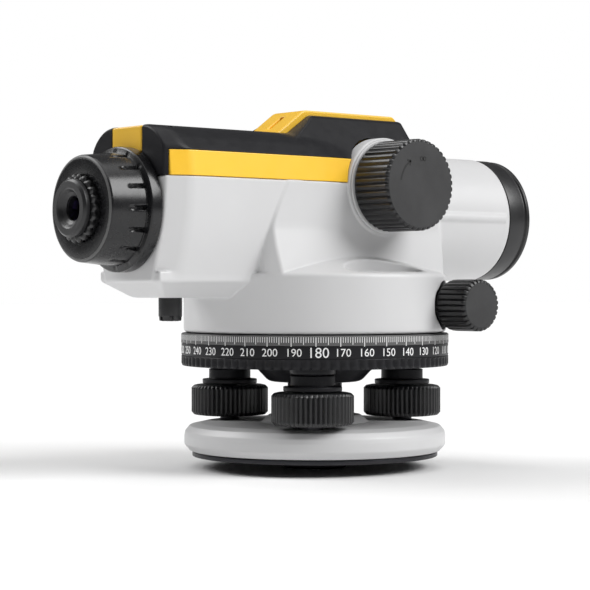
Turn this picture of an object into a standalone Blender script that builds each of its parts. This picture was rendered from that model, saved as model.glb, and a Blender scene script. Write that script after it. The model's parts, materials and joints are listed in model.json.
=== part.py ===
"""Automatic level: an optical levelling instrument on a three-screw base.

The sight line runs along X, with the objective at +X and the eyepiece at -X.
Z is the vertical axis of rotation. Sizes below are in millimetres and are scaled to
metres where meshes are made. Heights are counted from the rim of the base plate, and the
finished object is raised at the end, so that z = 0 is the foot of the tripod boss.
"""
import math

import bmesh
import bpy
from mathutils import Vector

MM = 0.001
GAP = 0.3                  # clearance between touching pieces
MERGE = 0.00001            # metres

# ---- driving dimensions ----
CIRCLE_R = 54.0            # horizontal circle
CIRCLE_LOW = 37.2
CIRCLE_HIGH = 50.2
DRUM_R = 53.0              # round foot of the housing
DRUM_LOW = CIRCLE_HIGH + 0.4
DRUM_HIGH = 73.5
SHOULDER_HIGH = 80.0       # the cone above the drum ends here
BASE_R = 52.7
BOSS_DROP = 4.0            # the tripod boss stands this far below the plate's rim
BUSH_R = 16.0
THREAD_R = 7.0             # bore for the 5/8 inch tripod screw
SCREW_CIRCLE_R = 41.3
SCREW_ANGLES = (-131.6, -11.6, 108.4)
SIGHT_Z = 97.4             # height of the sight line
WAIST_Z = 92.0
BAND_LOW = 109.5
BAND_HIGH = 119.0
TUBE_R = 26.2
TUBE_END = 86.5
HOOD_FRONT = 99.5
HOOD_R = 25.9
REAR_X = -92.0
STRIP_HALF = 9.4
STRIP_TOP = 138.7
SHELL_TOP = 137.0
DRIVE_X = 31.2             # tangent drive shaft
DRIVE_Z = 61.4
WHEEL_TEETH = 40
WORM_R = 4.1
DRIVE_KNOB_R = 10.2
SLEEVE_R = 9.3
DRIVE_KNOB_IN = 47.6
DRIVE_KNOB_OUT = 63.6
FOCUS_X = 13.5             # focusing knob shaft
FOCUS_Z = 108.5
FOCUS_KNOB_R = 18.0
FOCUS_KNOB_IN = 28.6
FOCUS_KNOB_OUT = 47.8
PINION_R = 2.6
BOSS_R = 19.4              # round boss of the casting behind the focusing knob
BUTTON_X = -72.3
POCKET_Y = 42.0
PENDULUM_X = -24.0
PENDULUM_Z = 115.0

TAU = 2 * math.pi
LONG_CHAINS = ("main_housing", "cover_shell_left", "cover_shell_right", "tribrach_body")

for old in list(bpy.data.objects):
    bpy.data.objects.remove(old, do_unlink=True)


def make_collection(name):
    collection = bpy.data.collections.new(name)
    bpy.context.scene.collection.children.link(collection)
    return collection


PARTS = make_collection("automatic_level")
CUTTERS = make_collection("cutters")
MATERIALS = {}


def material(name, colour, roughness, metallic=0.0):
    made = MATERIALS.get(name)
    if made is None:
        made = bpy.data.materials.new(name)
        made.use_nodes = True
        shader = made.node_tree.nodes["Principled BSDF"]
        shader.inputs["Base Color"].default_value = (*colour, 1.0)
        shader.inputs["Roughness"].default_value = roughness
        shader.inputs["Metallic"].default_value = metallic
        MATERIALS[name] = made
    return made


def paint():
    return material("light_paint", (0.78, 0.79, 0.8), 0.42)


def yellow():
    return material("yellow_plastic", (0.95, 0.62, 0.08), 0.4)


def black():
    return material("black_plastic", (0.03, 0.03, 0.035), 0.5)


def dark_metal():
    return material("dark_metal", (0.06, 0.06, 0.065), 0.4, 0.8)


def steel():
    return material("steel", (0.6, 0.6, 0.62), 0.3, 1.0)


def brass():
    return material("brass", (0.75, 0.58, 0.25), 0.3, 1.0)


def aluminium():
    return material("aluminium", (0.72, 0.73, 0.75), 0.35, 1.0)


def rubber():
    return material("rubber", (0.05, 0.05, 0.05), 0.8)


def liquid():
    return material("vial", (0.75, 0.9, 0.35), 0.05)


def glass():
    return material("coated_glass", (0.35, 0.25, 0.6), 0.05)


# ---- helpers ----
def scaled(points):
    return [tuple(c * MM for c in p) for p in points]


def finish(obj, name, finish_material, collection=None):
    """Name an object, give it its material and file it in a collection."""
    obj.name = name
    obj.data.name = name
    if finish_material is not None:
        obj.data.materials.clear()
        obj.data.materials.append(finish_material)
    target = collection or PARTS
    for owner in list(obj.users_collection):
        owner.objects.unlink(obj)
    target.objects.link(obj)
    return obj


def as_cutter(obj):
    """Move an object to the cutters, which are not part of the model."""
    for owner in list(obj.users_collection):
        owner.objects.unlink(obj)
    CUTTERS.objects.link(obj)
    obj.hide_render = True
    obj.display_type = "WIRE"
    return obj


def mesh_object(name, bm, finish_material):
    mesh = bpy.data.meshes.new(name)
    bm.to_mesh(mesh)
    bm.free()
    obj = bpy.data.objects.new(name, mesh)
    PARTS.objects.link(obj)
    return finish(obj, name, finish_material)


def point_axis(obj, axis):
    """Turn an object's own Z to the named world axis."""
    turns = {
        "Z": (0, 0, 0),
        "-Z": (math.pi, 0, 0),
        "X": (0, math.pi / 2, 0),
        "-X": (0, -math.pi / 2, 0),
        "Y": (-math.pi / 2, 0, 0),
        "-Y": (math.pi / 2, 0, 0),
    }
    obj.rotation_euler = turns[axis]


def steps_for(radius):
    """Number of flat sides that suits a round piece of this radius."""
    return max(10, 4 * int(1.5 * math.sqrt(radius)))


def turned(name, profile, place, axis, finish_material, closed=False):
    """A turned solid: profile points are (radius, distance along the axis)."""
    steps = steps_for(max(radius for radius, height in profile))
    bm = bmesh.new()
    verts = [bm.verts.new((r * MM, 0, h * MM)) for r, h in profile]
    for first, second in zip(verts, verts[1:]):
        bm.edges.new((first, second))
    if closed:
        bm.edges.new((verts[-1], verts[0]))
    obj = mesh_object(name, bm, finish_material)
    screw = obj.modifiers.new("turn", "SCREW")
    screw.angle = TAU
    screw.steps = steps
    screw.render_steps = steps
    screw.use_merge_vertices = True
    screw.merge_threshold = MERGE
    obj.location = scaled([place])[0]
    point_axis(obj, axis)
    return obj


def ring_profile(inner, outer, low, high, chamfer=0.0):
    """A closed profile of a ring, running down its outer side."""
    c = chamfer
    if c:
        return [(inner, high), (outer - c, high), (outer, high - c),
                (outer, low + c), (outer - c, low), (inner, low)]
    return [(inner, high), (outer, high), (outer, low), (inner, low)]


def ring(name, inner, outer, low, high, place, axis, finish_material, chamfer=0.0):
    profile = ring_profile(inner, outer, low, high, chamfer)
    return turned(name, profile, place, axis, finish_material, closed=True)


def disc(name, radius, low, high, place, axis, finish_material, chamfer=0.0):
    c = chamfer
    if c:
        profile = [(0, high), (radius - c, high), (radius, high - c),
                   (radius, low + c), (radius - c, low), (0, low)]
    else:
        profile = [(0, high), (radius, high), (radius, low), (0, low)]
    return turned(name, profile, place, axis, finish_material)


def box(name, low, high, finish_material):
    """A box between two corners."""
    centre = [(a + b) / 2 * MM for a, b in zip(low, high)]
    bpy.ops.mesh.primitive_cube_add(size=1.0, location=centre)
    obj = bpy.context.active_object
    for vertex in obj.data.vertices:
        for i in range(3):
            vertex.co[i] *= (high[i] - low[i]) * MM
    return finish(obj, name, finish_material)


def loft(name, sections, finish_material):
    """A closed solid through sections that have the same number of points."""
    bm = bmesh.new()
    rows = [[bm.verts.new(Vector(p) * MM) for p in section] for section in sections]
    count = len(rows[0])
    for lower, upper in zip(rows, rows[1:]):
        for i in range(count):
            j = (i + 1) % count
            bm.faces.new((lower[i], lower[j], upper[j], upper[i]))
    bm.faces.new(rows[0])
    bm.faces.new(rows[-1])
    bmesh.ops.recalc_face_normals(bm, faces=bm.faces[:])
    bmesh.ops.triangulate(bm, faces=bm.faces[:])
    return mesh_object(name, bm, finish_material)


def prism(name, outline, low, high, finish_material):
    """A plan outline raised from z = low to z = high."""
    sections = [[(x, y, z) for x, y in outline] for z in (low, high)]
    return loft(name, sections, finish_material)


def combine(obj, other, operation):
    """Add a Boolean; long chains of cuts need the solver for closed meshes."""
    change = obj.modifiers.new(operation.lower(), "BOOLEAN")
    change.operation = operation
    change.solver = "MANIFOLD" if obj.name in LONG_CHAINS else "EXACT"
    change.object = as_cutter(other)
    return obj


def cut(obj, *others):
    for other in others:
        combine(obj, other, "DIFFERENCE")
    return obj


def join(obj, *others):
    for other in others:
        combine(obj, other, "UNION")
    return obj


def keep(obj, other):
    return combine(obj, other, "INTERSECT")


def on_circle(radius, degrees):
    angle = math.radians(degrees)
    return radius * math.cos(angle), radius * math.sin(angle)


def hang_on(name, place, *hung):
    """Parent objects to an empty on their joint's axis, without moving them."""
    pivot = bpy.data.objects.new(name, None)
    PARTS.objects.link(pivot)
    pivot.location = scaled([place])[0]
    for obj in hung:
        obj.parent = pivot
        obj.location = obj.location - pivot.location


def raise_to_foot():
    """Raise the finished object, so that the foot of its tripod boss is at z = 0."""
    for obj in list(PARTS.objects) + list(CUTTERS.objects):
        if obj.parent is None:
            obj.location.z += BOSS_DROP * MM


# ---- base and levelling screws ----
def base_plate():
    """Round plate under the screws, with the tripod bush through its centre."""
    profile = [(BUSH_R + GAP, 17.0), (18.4, 17.3), (21.8, 14.2), (46.0, 14.0), (50.5, 13.2),
               (52.2, 11.4), (BASE_R, 9.0), (BASE_R, 5.0), (50.6, 2.9), (44.0, 2.9), (44.0, 6.5),
               (BUSH_R + GAP, 6.5)]
    plate = turned("base_plate", profile, (0, 0, 0), "Z", paint(), closed=True)
    for i, degrees in enumerate(SCREW_ANGLES):
        x, y = on_circle(SCREW_CIRCLE_R, degrees)
        seat = disc(f"cut_seat_{i}", 4.3, 9.0, 16.0, (x, y, 0), "Z", None)
        cut(plate, seat)
    return plate


def spring_plate():
    """Thin plate under the base, which holds the feet of the screws down."""
    ring("spring_plate", 13.3, 49.5, 0.8, 2.6, (0, 0, 0), "Z", dark_metal())


def tripod_bush():
    """Boss with the 5/8 inch tripod thread, domed on top and standing out under the base."""
    foot = -BOSS_DROP
    profile = [(0, 17.6), (4.5, 17.1), (8.0, 15.6), (9.6, 13.8), (BUSH_R, 13.8), (BUSH_R, 3.0),
               (13.0, 3.0), (13.0, foot + 0.6), (12.4, foot), (8.4, foot),
               (THREAD_R, foot + 1.4), (THREAD_R, 11.5), (0, 11.5)]
    turned("tripod_bush", profile, (0, 0, 0), "Z", brass())


def foot_screw(number, degrees):
    """Spindle in the base, knurled knob, and the sleeve of the upper plate."""
    x, y = on_circle(SCREW_CIRCLE_R, degrees)
    place = (x, y, 0)
    knob_profile = [(3.4, 28.2), (13.4, 28.2), (14.8, 27.9), (15.9, 26.6), (15.9, 17.2),
                    (14.8, 15.8), (12.6, 15.5), (3.4, 15.5)]
    turned(f"foot_screw_knob_{number}", knob_profile, place, "Z", black(), closed=True)
    spindle_profile = [(0, 44.5), (2.5, 44.5), (3.1, 43.9), (3.1, 15.3), (4.0, 15.3),
                       (4.0, 10.5), (2.8, 9.3), (0, 9.3)]
    turned(f"foot_screw_spindle_{number}", spindle_profile, place, "Z", steel())
    sleeve_profile = [(3.4, 34.7), (8.6, 34.7), (8.6, 30.6), (11.3, 30.6), (11.3, 28.7),
                      (3.4, 28.7)]
    turned(f"foot_screw_sleeve_{number}", sleeve_profile, place, "Z", aluminium(), closed=True)


def tribrach_body():
    """Three-armed upper plate: hub, arms and the sockets of the screws."""
    hub_profile = [(11.3, 42.0), (24.2, 42.0), (24.2, 36.5), (18.6, 30.5), (11.3, 30.5)]
    body = turned("tribrach_body", hub_profile, (0, 0, 0), "Z", black(), closed=True)
    for i, degrees in enumerate(SCREW_ANGLES):
        x, y = on_circle(SCREW_CIRCLE_R, degrees)
        arm = prism(f"join_arm_{i}", [(15.0, -10.0), (SCREW_CIRCLE_R, -8.0),
                                      (SCREW_CIRCLE_R, 8.0), (15.0, 10.0)], 35.5, 41.2, None)
        arm.rotation_euler = (0, 0, math.radians(degrees))
        boss = disc(f"join_boss_{i}", 8.6, 35.0, 46.0, (x, y, 0), "Z", None)
        socket = disc(f"cut_socket_{i}", 3.4, 30.0, 44.9, (x, y, 0), "Z", None)
        join(body, arm, boss)
        cut(body, socket)
    return body


def centre_spindle():
    """Fixed vertical axis that the circle, the worm wheel and the head turn on."""
    profile = [(0, 72.0), (8.0, 72.0), (8.6, 71.4), (8.6, 54.4), (11.0, 54.4), (11.0, 43.0),
               (18.0, 43.0), (18.0, 42.3), (11.0, 42.3), (11.0, 28.5), (0, 28.5)]
    turned("centre_spindle", profile, (0, 0, 0), "Z", steel())


def horizontal_circle():
    """Graduated ring with a web and a hub, free to turn on the spindle."""
    profile = [(11.3, CIRCLE_HIGH), (CIRCLE_R - 0.6, CIRCLE_HIGH), (CIRCLE_R, CIRCLE_HIGH - 0.6),
               (CIRCLE_R, CIRCLE_LOW + 0.4), (CIRCLE_R - 0.4, CIRCLE_LOW), (50.6, CIRCLE_LOW),
               (50.6, 47.0), (15.0, 47.0), (15.0, 43.3), (11.3, 43.3)]
    turned("horizontal_circle", profile, (0, 0, 0), "Z", black(), closed=True)


def gear_outline(teeth, root, tip):
    outline = []
    for i in range(teeth):
        for share, radius in ((0.0, root), (0.3, root), (0.42, tip), (0.88, tip)):
            angle = TAU * (i + share) / teeth
            outline.append((radius * math.cos(angle), radius * math.sin(angle)))
    return outline


def worm_wheel():
    """Wheel of the tangent drive, held to the spindle by friction."""
    tip = DRIVE_X - WORM_R - 0.5
    wheel = prism("worm_wheel", gear_outline(WHEEL_TEETH, tip - 1.2, tip), 58.4, 64.4, brass())
    cut(wheel, disc("cut_wheel_bore", 8.9, 50, 70, (0, 0, 0), "Z", None))
    cut(wheel, ring("cut_wheel_recess", 12.0, 20.5, 62.4, 66.0, (0, 0, 0), "Z", None))
    return wheel


def tangent_drive():
    """Cross shaft with its worm, a knob on each end and a sleeve on each side."""
    place = (DRIVE_X, 0, DRIVE_Z)
    half = DRIVE_KNOB_OUT - 6.0
    disc("drive_shaft", 1.8, -half, half, place, "Y", steel())
    worm_points = [(2.1, 7.0)]
    for i in range(7):
        top = 7.0 - 2.0 * i
        worm_points += [(WORM_R, top), (WORM_R, top - 0.9), (3.2, top - 1.2), (3.2, top - 1.8)]
    worm_points += [(WORM_R, -7.0), (2.1, -7.0)]
    turned("drive_worm", worm_points, place, "Y", steel(), closed=True)
    for side, axis in (("left", "Y"), ("right", "-Y")):
        ring(f"drive_sleeve_{side}", 2.2, SLEEVE_R, 31.0, DRIVE_KNOB_IN - GAP, place, axis, black())
        blind = half + 0.3
        outer = DRIVE_KNOB_OUT
        inner = DRIVE_KNOB_IN
        knob_profile = [(0, outer), (9.2, outer), (DRIVE_KNOB_R, outer - 1.0),
                        (DRIVE_KNOB_R, inner + 0.8), (9.4, inner), (2.1, inner), (2.1, blind),
                        (0, blind)]
        turned(f"drive_knob_{side}", knob_profile, place, axis, black())


# ---- housing ----
def arc(radius, start, end, count):
    """Points on a circle round the vertical axis, angles in degrees."""
    steps = [start + (end - start) * i / (count - 1) for i in range(count)]
    return [on_circle(radius, degrees) for degrees in steps]


def body_outline(front_r, side, side_rear, rear, corner, inset=0.0):
    """Plan outline of the housing at one height.

    front_r is the radius of the round front, side the half width at the front, side_rear
    the half width behind the step, rear the half width of the tail, corner that of its end.
    """
    front_r -= inset
    side, side_rear, rear, corner = (w - inset for w in (side, side_rear, rear, corner))
    tail = REAR_X + inset
    edge = math.degrees(math.asin(side / front_r))
    half = arc(front_r, 0.0, edge, 6)
    half += [(2.0, side), (-24.0, side_rear), (-45.5, side_rear), (-46.3, rear),
             (-84.0, rear), (tail + 2.5, corner + 1.2), (tail, corner - 1.5)]
    mirrored = [(x, -y) for x, y in reversed(half[1:])]
    return half + mirrored


SKIRT_LOW = 72.4
BODY_LEVELS = (
    # height, front radius, half widths: front, behind the step, tail, tail's end
    (SKIRT_LOW, 52.5, 31.4, 31.4, 19.8, 15.0),
    (WAIST_Z, 52.5, 27.3, 27.3, 26.6, 24.4),
    (BAND_LOW, 46.6, 26.6, 28.4, 28.0, 25.0),
    (BAND_HIGH, 46.0, 25.8, 27.4, 27.0, 24.0),
)


def body_solid(name, levels, finish_material, inset=0.0):
    """Loft of the housing's outline through some of its heights."""
    sections = []
    for z, *sizes in levels:
        sections.append([(x, y, z) for x, y in body_outline(*sizes, inset=inset)])
    return loft(name, sections, finish_material)


def tail_underside():
    """Chamfered box under the tail, which carries the check button."""
    sections = []
    for z, front, tail, half, corner in ((64.5, -36.0, -83.0, 10.5, 9.0),
                                         (70.5, -36.0, -91.2, 19.2, 14.0),
                                         (74.0, -36.0, -91.3, 19.4, 14.2)):
        outline = [(front, -half), (front, half), (tail + 6.0, half), (tail, corner),
                   (tail, -corner), (tail + 6.0, -half)]
        sections.append([(x, y, z) for x, y in outline])
    return loft("join_tail_underside", sections, None)


def pocket_cutter(side):
    """Upright elliptical cutter for the hollow in the shoulder beside the skirt."""
    outline = []
    for i in range(32):
        angle = TAU * i / 32
        outline.append((19.0 * math.cos(angle), side * POCKET_Y + 10.0 * math.sin(angle)))
    return prism(f"cut_pocket_{side}", outline, 74.4, 90.0, None)


def main_housing():
    """One casting: drum, shoulder, skirt, tail and objective tube, hollow inside."""
    drum_profile = [(0, SHOULDER_HIGH), (30.5, SHOULDER_HIGH), (51.6, 74.0), (52.6, DRUM_HIGH),
                    (DRUM_R, DRUM_HIGH - 0.8), (DRUM_R, DRUM_LOW + 0.5),
                    (DRUM_R - 0.5, DRUM_LOW), (0, DRUM_LOW)]
    housing = turned("main_housing", drum_profile, (0, 0, 0), "Z", paint())
    cut(housing, pocket_cutter(1), pocket_cutter(-1))
    join(housing, body_solid("join_body", BODY_LEVELS[:3], None), tail_underside())
    join(housing, disc("join_tube", TUBE_R, 20.0, TUBE_END, (0, 0, SIGHT_Z), "X", None))
    join(housing, disc("join_nose", 22.4, TUBE_END - 1, TUBE_END + 8.5, (0, 0, SIGHT_Z), "X",
                       None))
    for side in (-1, 1):
        rib = box(f"join_rib_{side}", (40.0, min(0, side * (TUBE_R + 0.5)), SIGHT_Z - 2.0),
                  (TUBE_END - 1.5, max(0, side * (TUBE_R + 0.5)), SIGHT_Z + 2.0), None)
        join(housing, rib)
    join(housing, disc("join_eye_boss", 20.0, -REAR_X - 6, -REAR_X + 3.5, (0, 0, SIGHT_Z), "-X",
                       None))
    boss = disc("join_focus_boss", BOSS_R, 20.0, 27.6, (FOCUS_X, 0, FOCUS_Z), "-Y", None,
                chamfer=0.6)
    join(housing, boss)

    cut(housing, disc("cut_tube", 20.2, -4.0, 96.0, (0, 0, SIGHT_Z), "X", None))
    cut(housing, box("cut_chamber", (-84.0, -21.7, SHOULDER_HIGH + 3), (34.5, 21.7, 150.0), None))
    cut(housing, disc("cut_eye_bore", 15.2, 80.0, 100.0, (0, 0, SIGHT_Z), "-X", None))
    cut(housing, disc("cut_drum", 49.5, 40.0, 70.0, (0, 0, 0), "Z", None))
    cut(housing, disc("cut_bush_seat", 15.3, 60.0, 76.0, (0, 0, 0), "Z", None))
    cut(housing, disc("cut_drive_bore", SLEEVE_R + GAP, -60.0, 60.0, (DRIVE_X, 0, DRIVE_Z), "Y",
                      None))
    for side in ("Y", "-Y"):
        cut(housing, disc(f"cut_drive_flat_{side}", DRIVE_KNOB_R + 0.8, DRIVE_KNOB_IN - GAP, 60.0,
                          (DRIVE_X, 0, DRIVE_Z), side, None))
    cut(housing, disc("cut_focus_bore", 8.3, 10.0, 40.0, (FOCUS_X, 0, FOCUS_Z), "-Y", None))
    cut(housing, disc("cut_button_bore", 4.9, 50.0, 77.0, (BUTTON_X, 0, 0), "Z", None))
    cut(housing, disc("cut_bubble_seat", 9.3, 71.8, 90.0, (-1.5, 40.6, 0), "Z", None))
    return housing


def housing_floor():
    """Plate that closes the drum from below, and carries the drive's bearings."""
    ring("housing_floor", 12.0, 49.2, DRUM_LOW + 0.2, 51.7, (0, 0, 0), "Z", aluminium())


def axis_bush():
    """Bearing bush in the housing, which turns on the spindle."""
    profile = [(0, 75.7), (15.0, 75.7), (15.0, 64.7), (8.9, 64.7), (8.9, 72.4), (0, 72.4)]
    turned("axis_bush", profile, (0, 0, 0), "Z", brass())


def side_halves(name, side, solid, finish_material):
    """Keep one side of a solid that crosses the centre plane."""
    low = 3.0 if side > 0 else -70.0
    high = 70.0 if side > 0 else -3.0
    keep(solid, box(f"keep_{name}", (-120, low, 90), (120, high, 160), None))
    solid.name = name
    solid.data.name = name
    return finish(solid, name, finish_material)


def side_band(name, side):
    """Yellow strip round one side, between the casting and the black cover."""
    low = BAND_LOW + GAP
    levels = ((low, *BODY_LEVELS[2][1:]), BODY_LEVELS[3])
    band = body_solid(name, levels, None)
    inner_levels = ((low - 2, *BODY_LEVELS[2][1:]), (BAND_HIGH + 2, *BODY_LEVELS[3][1:]))
    cut(band, body_solid(f"cut_inner_{name}", inner_levels, None, inset=2.6))
    side_halves(name, side, band, yellow())
    cut(band, disc(f"cut_tube_{name}", TUBE_R + GAP, -10.0, 90.0, (0, 0, SIGHT_Z), "X", None))
    cut(band, box(f"cut_tail_{name}", (-120, -9.9, 100), (-80, 9.9, 130), None))
    cut(band, disc(f"cut_eye_{name}", 20.0 + GAP, 80.0, 100.0, (0, 0, SIGHT_Z), "-X", None))
    front = 36.7 if side > 0 else FOCUS_X
    cut(band, box(f"cut_front_{name}", (front, -60.0, 100.0), (80.0, 60.0, 130.0), None))
    if side < 0:
        cut(band, disc(f"cut_boss_{name}", BOSS_R + GAP, 10.0, 40.0, (FOCUS_X, 0, FOCUS_Z), "-Y",
                       None))
    return band


COVER_STATIONS = (
    # x, half width at the foot, shoulder (y, z), height beside the strip
    (-92.4, 23.5, 19.6, 122.0, 123.6),
    (-89.5, 25.3, 19.6, 125.6, 127.4),
    (-80.0, 27.0, 20.5, 127.6, 129.3),
    (-28.0, 27.4, 20.5, 127.4, 129.0),
    (-16.0, 26.8, 14.6, 135.6, SHELL_TOP),
    (2.0, 25.8, 14.0, 136.2, SHELL_TOP),
    (31.5, 25.8, 14.0, 135.8, SHELL_TOP - 0.2),
    (38.5, 25.6, 17.0, 127.5, 128.8),
)


def cover_solid(name, inset, low):
    """Loft of the cover along the sight line; inset gives its hollow."""
    sections = []
    last = len(COVER_STATIONS) - 1
    for i, (x, foot, shoulder_y, shoulder_z, top_z) in enumerate(COVER_STATIONS):
        if i == 0:
            x += inset
        if i == last:
            x -= inset
        half = [(foot - inset, low), (shoulder_y - inset, shoulder_z - inset),
                (STRIP_HALF, top_z - inset)]
        points = half + [(-y, z) for y, z in reversed(half)]
        sections.append([(x, y, z) for y, z in points])
    return loft(name, sections, None)


def cover_shell(name, side):
    """Hollow black cover on one side of the yellow centre strip."""
    shell = cover_solid(name, 0.0, BAND_HIGH + GAP)
    cut(shell, cover_solid(f"cut_inner_{name}", 2.2, BAND_HIGH - 4))
    side_halves(name, side, shell, black())
    join(shell, cover_cheek(name, side))
    cut(shell, box(f"cut_strip_{name}", (-120, -STRIP_HALF - GAP, 90),
                   (120, STRIP_HALF + GAP, 160), None))
    cut(shell, disc(f"cut_tube_{name}", TUBE_R + GAP, -10.0, 90.0, (0, 0, SIGHT_Z), "X",
                    None))
    x = -84.0
    cut(shell, disc(f"cut_screw_{name}", 2.2, 110, 140, (x, side * 15.0, 0), "Z", None))
    if side < 0:
        cut(shell, disc(f"cut_boss_{name}", BOSS_R + GAP, 10.0, 40.0, (FOCUS_X, 0, FOCUS_Z), "-Y",
                        None))
    return shell


def cover_cheek(name, side):
    """Block that closes the cover's front beside the tube, down to the casting."""
    back = 37.0 if side > 0 else 30.0
    sections = []
    for z, front in ((BAND_LOW + GAP, 46.0), (126.0, 40.0)):
        outline = [(back, 25.5), (38.7, 25.4), (front - 3.0, 21.0), (front, 14.0), (front, 8.0),
                   (back, 8.0)]
        sections.append([(x, side * y, z) for x, y in outline])
    return loft(f"join_cheek_{name}", sections, None)


def centre_strip():
    """Yellow spine over the top, from the tube to the eyepiece, with a sight tunnel."""
    outline = [(49.5, 121.5), (49.5, 123.7), (35.0, 138.1), (33.5, STRIP_TOP),
               (-13.5, STRIP_TOP), (-16.5, 137.6), (-27.0, 129.0), (-84.0, 128.6),
               (-89.6, 127.0), (-92.4, 122.2), (-92.4, 118.6), (-89.6, 118.6), (-86.5, 125.0),
               (-27.5, 125.0), (30.0, 125.0), (38.0, 121.5)]
    sections = []
    for y in (-STRIP_HALF, STRIP_HALF):
        sections.append([(x, y, z) for x, z in outline])
    strip = loft("centre_strip", sections, yellow())
    cut(strip, disc("cut_strip_tube", TUBE_R + GAP, 0.0, 95.0, (0, 0, SIGHT_Z), "X", None))
    cut(strip, box("cut_tunnel", (-60, -2.6, 131.0), (60, 2.6, 136.4), None))
    cut(strip, disc("cut_strip_eye", 20.0 + GAP, 80.0, 96.0, (0, 0, SIGHT_Z), "-X", None))
    return strip


# ---- telescope ----
def objective():
    """Hood, lens and the ring that holds the lens in the tube."""
    x0 = TUBE_END + GAP
    front = HOOD_FRONT
    hood_profile = [(18.6, front), (24.9, front), (HOOD_R, front - 1.0), (HOOD_R, 98.0 - 3.2),
                    (25.4, 94.3), (25.4, 93.5), (HOOD_R, 93.0), (HOOD_R, x0), (22.8, x0),
                    (22.8, 95.6), (18.6, 95.6)]
    turned("objective_hood", hood_profile, (0, 0, SIGHT_Z), "X", black(), closed=True)
    ring("lens_retaining_ring", 17.6, 19.9, 91.2, 93.6, (0, 0, SIGHT_Z), "X", black())
    lens_profile = [(0, 90.9), (8.0, 90.4), (14.0, 89.3), (19.6, 87.6), (19.6, 84.4), (12.0, 83.6),
                    (0, 83.2)]
    turned("objective_lens", lens_profile, (0, 0, SIGHT_Z), "X", glass())


def focusing():
    """Lens carrier with its rack bar, the focusing lens and the pinion."""
    place = (0, 0, SIGHT_Z)
    carrier = ring("focusing_carrier", 11.4, 13.6, 27.0, 45.0, place, "X", brass())
    web = ring("join_carrier_web", 5.8, 12.4, 27.2, 28.8, place, "X", None)
    rack_top = FOCUS_Z - PINION_R - 0.35
    rack = box("join_rack_bar", (5.0, -2.5, rack_top - 2.2), (28.0, 2.5, rack_top), None)
    join(carrier, web, rack)
    lens_profile = [(0, 37.2), (6.0, 37.5), (11.1, 39.0), (11.1, 34.2), (6.0, 35.5), (0, 35.8)]
    turned("focusing_lens", lens_profile, place, "X", glass())
    turned("focus_pinion", [(0, 3.0), (PINION_R, 3.0), (PINION_R, -3.0), (0, -3.0)],
           (FOCUS_X, 0, FOCUS_Z), "-Y", steel())


def focus_controls():
    place = (FOCUS_X, 0, FOCUS_Z)
    disc("focus_shaft", 2.0, 3.3, FOCUS_KNOB_OUT - 5.0, place, "-Y", steel())
    ring("focus_collar", 2.4, 18.6, 27.9, 28.4, place, "-Y", aluminium())
    outer = FOCUS_KNOB_OUT
    inner = FOCUS_KNOB_IN
    blind = outer - 4.7
    knob_profile = [(0, outer), (16.6, outer), (17.6, outer - 0.6), (FOCUS_KNOB_R, outer - 1.8),
                    (FOCUS_KNOB_R, inner + 0.7), (FOCUS_KNOB_R - 0.7, inner), (2.3, inner),
                    (2.3, blind), (0, blind)]
    turned("focus_knob", knob_profile, place, "-Y", black())


def eyepiece():
    """Reticle, its cover, the ocular, the dioptre ring and the eye cup."""
    place = (0, 0, SIGHT_Z)
    ring("reticle_ring", 7.5, 13.0, 88.0, 91.0, place, "-X", brass())
    disc("reticle_glass", 7.2, 88.6, 90.2, place, "-X", glass())
    cover_profile = [(12.4, 113.0), (19.2, 113.0), (19.8, 112.4), (21.2, 101.5), (21.2, 98.2),
                     (23.4, 97.4), (23.4, 92.8), (20.3, 92.8), (20.3, 96.0), (16.0, 99.0),
                     (16.0, 108.0), (12.4, 108.0)]
    turned("reticle_cover", cover_profile, place, "-X", black(), closed=True)
    ring("ocular_barrel", 8.6, 10.2, 94.0, 110.9, place, "-X", dark_metal())
    lens_profile = [(0, 109.6), (5.0, 109.2), (8.3, 108.0), (8.3, 104.4), (0, 104.2)]
    turned("eye_lens", lens_profile, place, "-X", glass())
    dioptre = ring("diopter_ring", 4.6, 12.8, 113.3, 115.6, place, "-X", black(), chamfer=0.3)
    join(dioptre, ring("join_diopter_neck", 10.5, 12.0, 108.6, 113.6, place, "-X", None))
    cup_profile = [(4.4, 118.6), (9.6, 118.6), (10.8, 117.6), (10.8, 115.9), (4.4, 115.9)]
    turned("eyecup", cup_profile, place, "-X", rubber(), closed=True)


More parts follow.
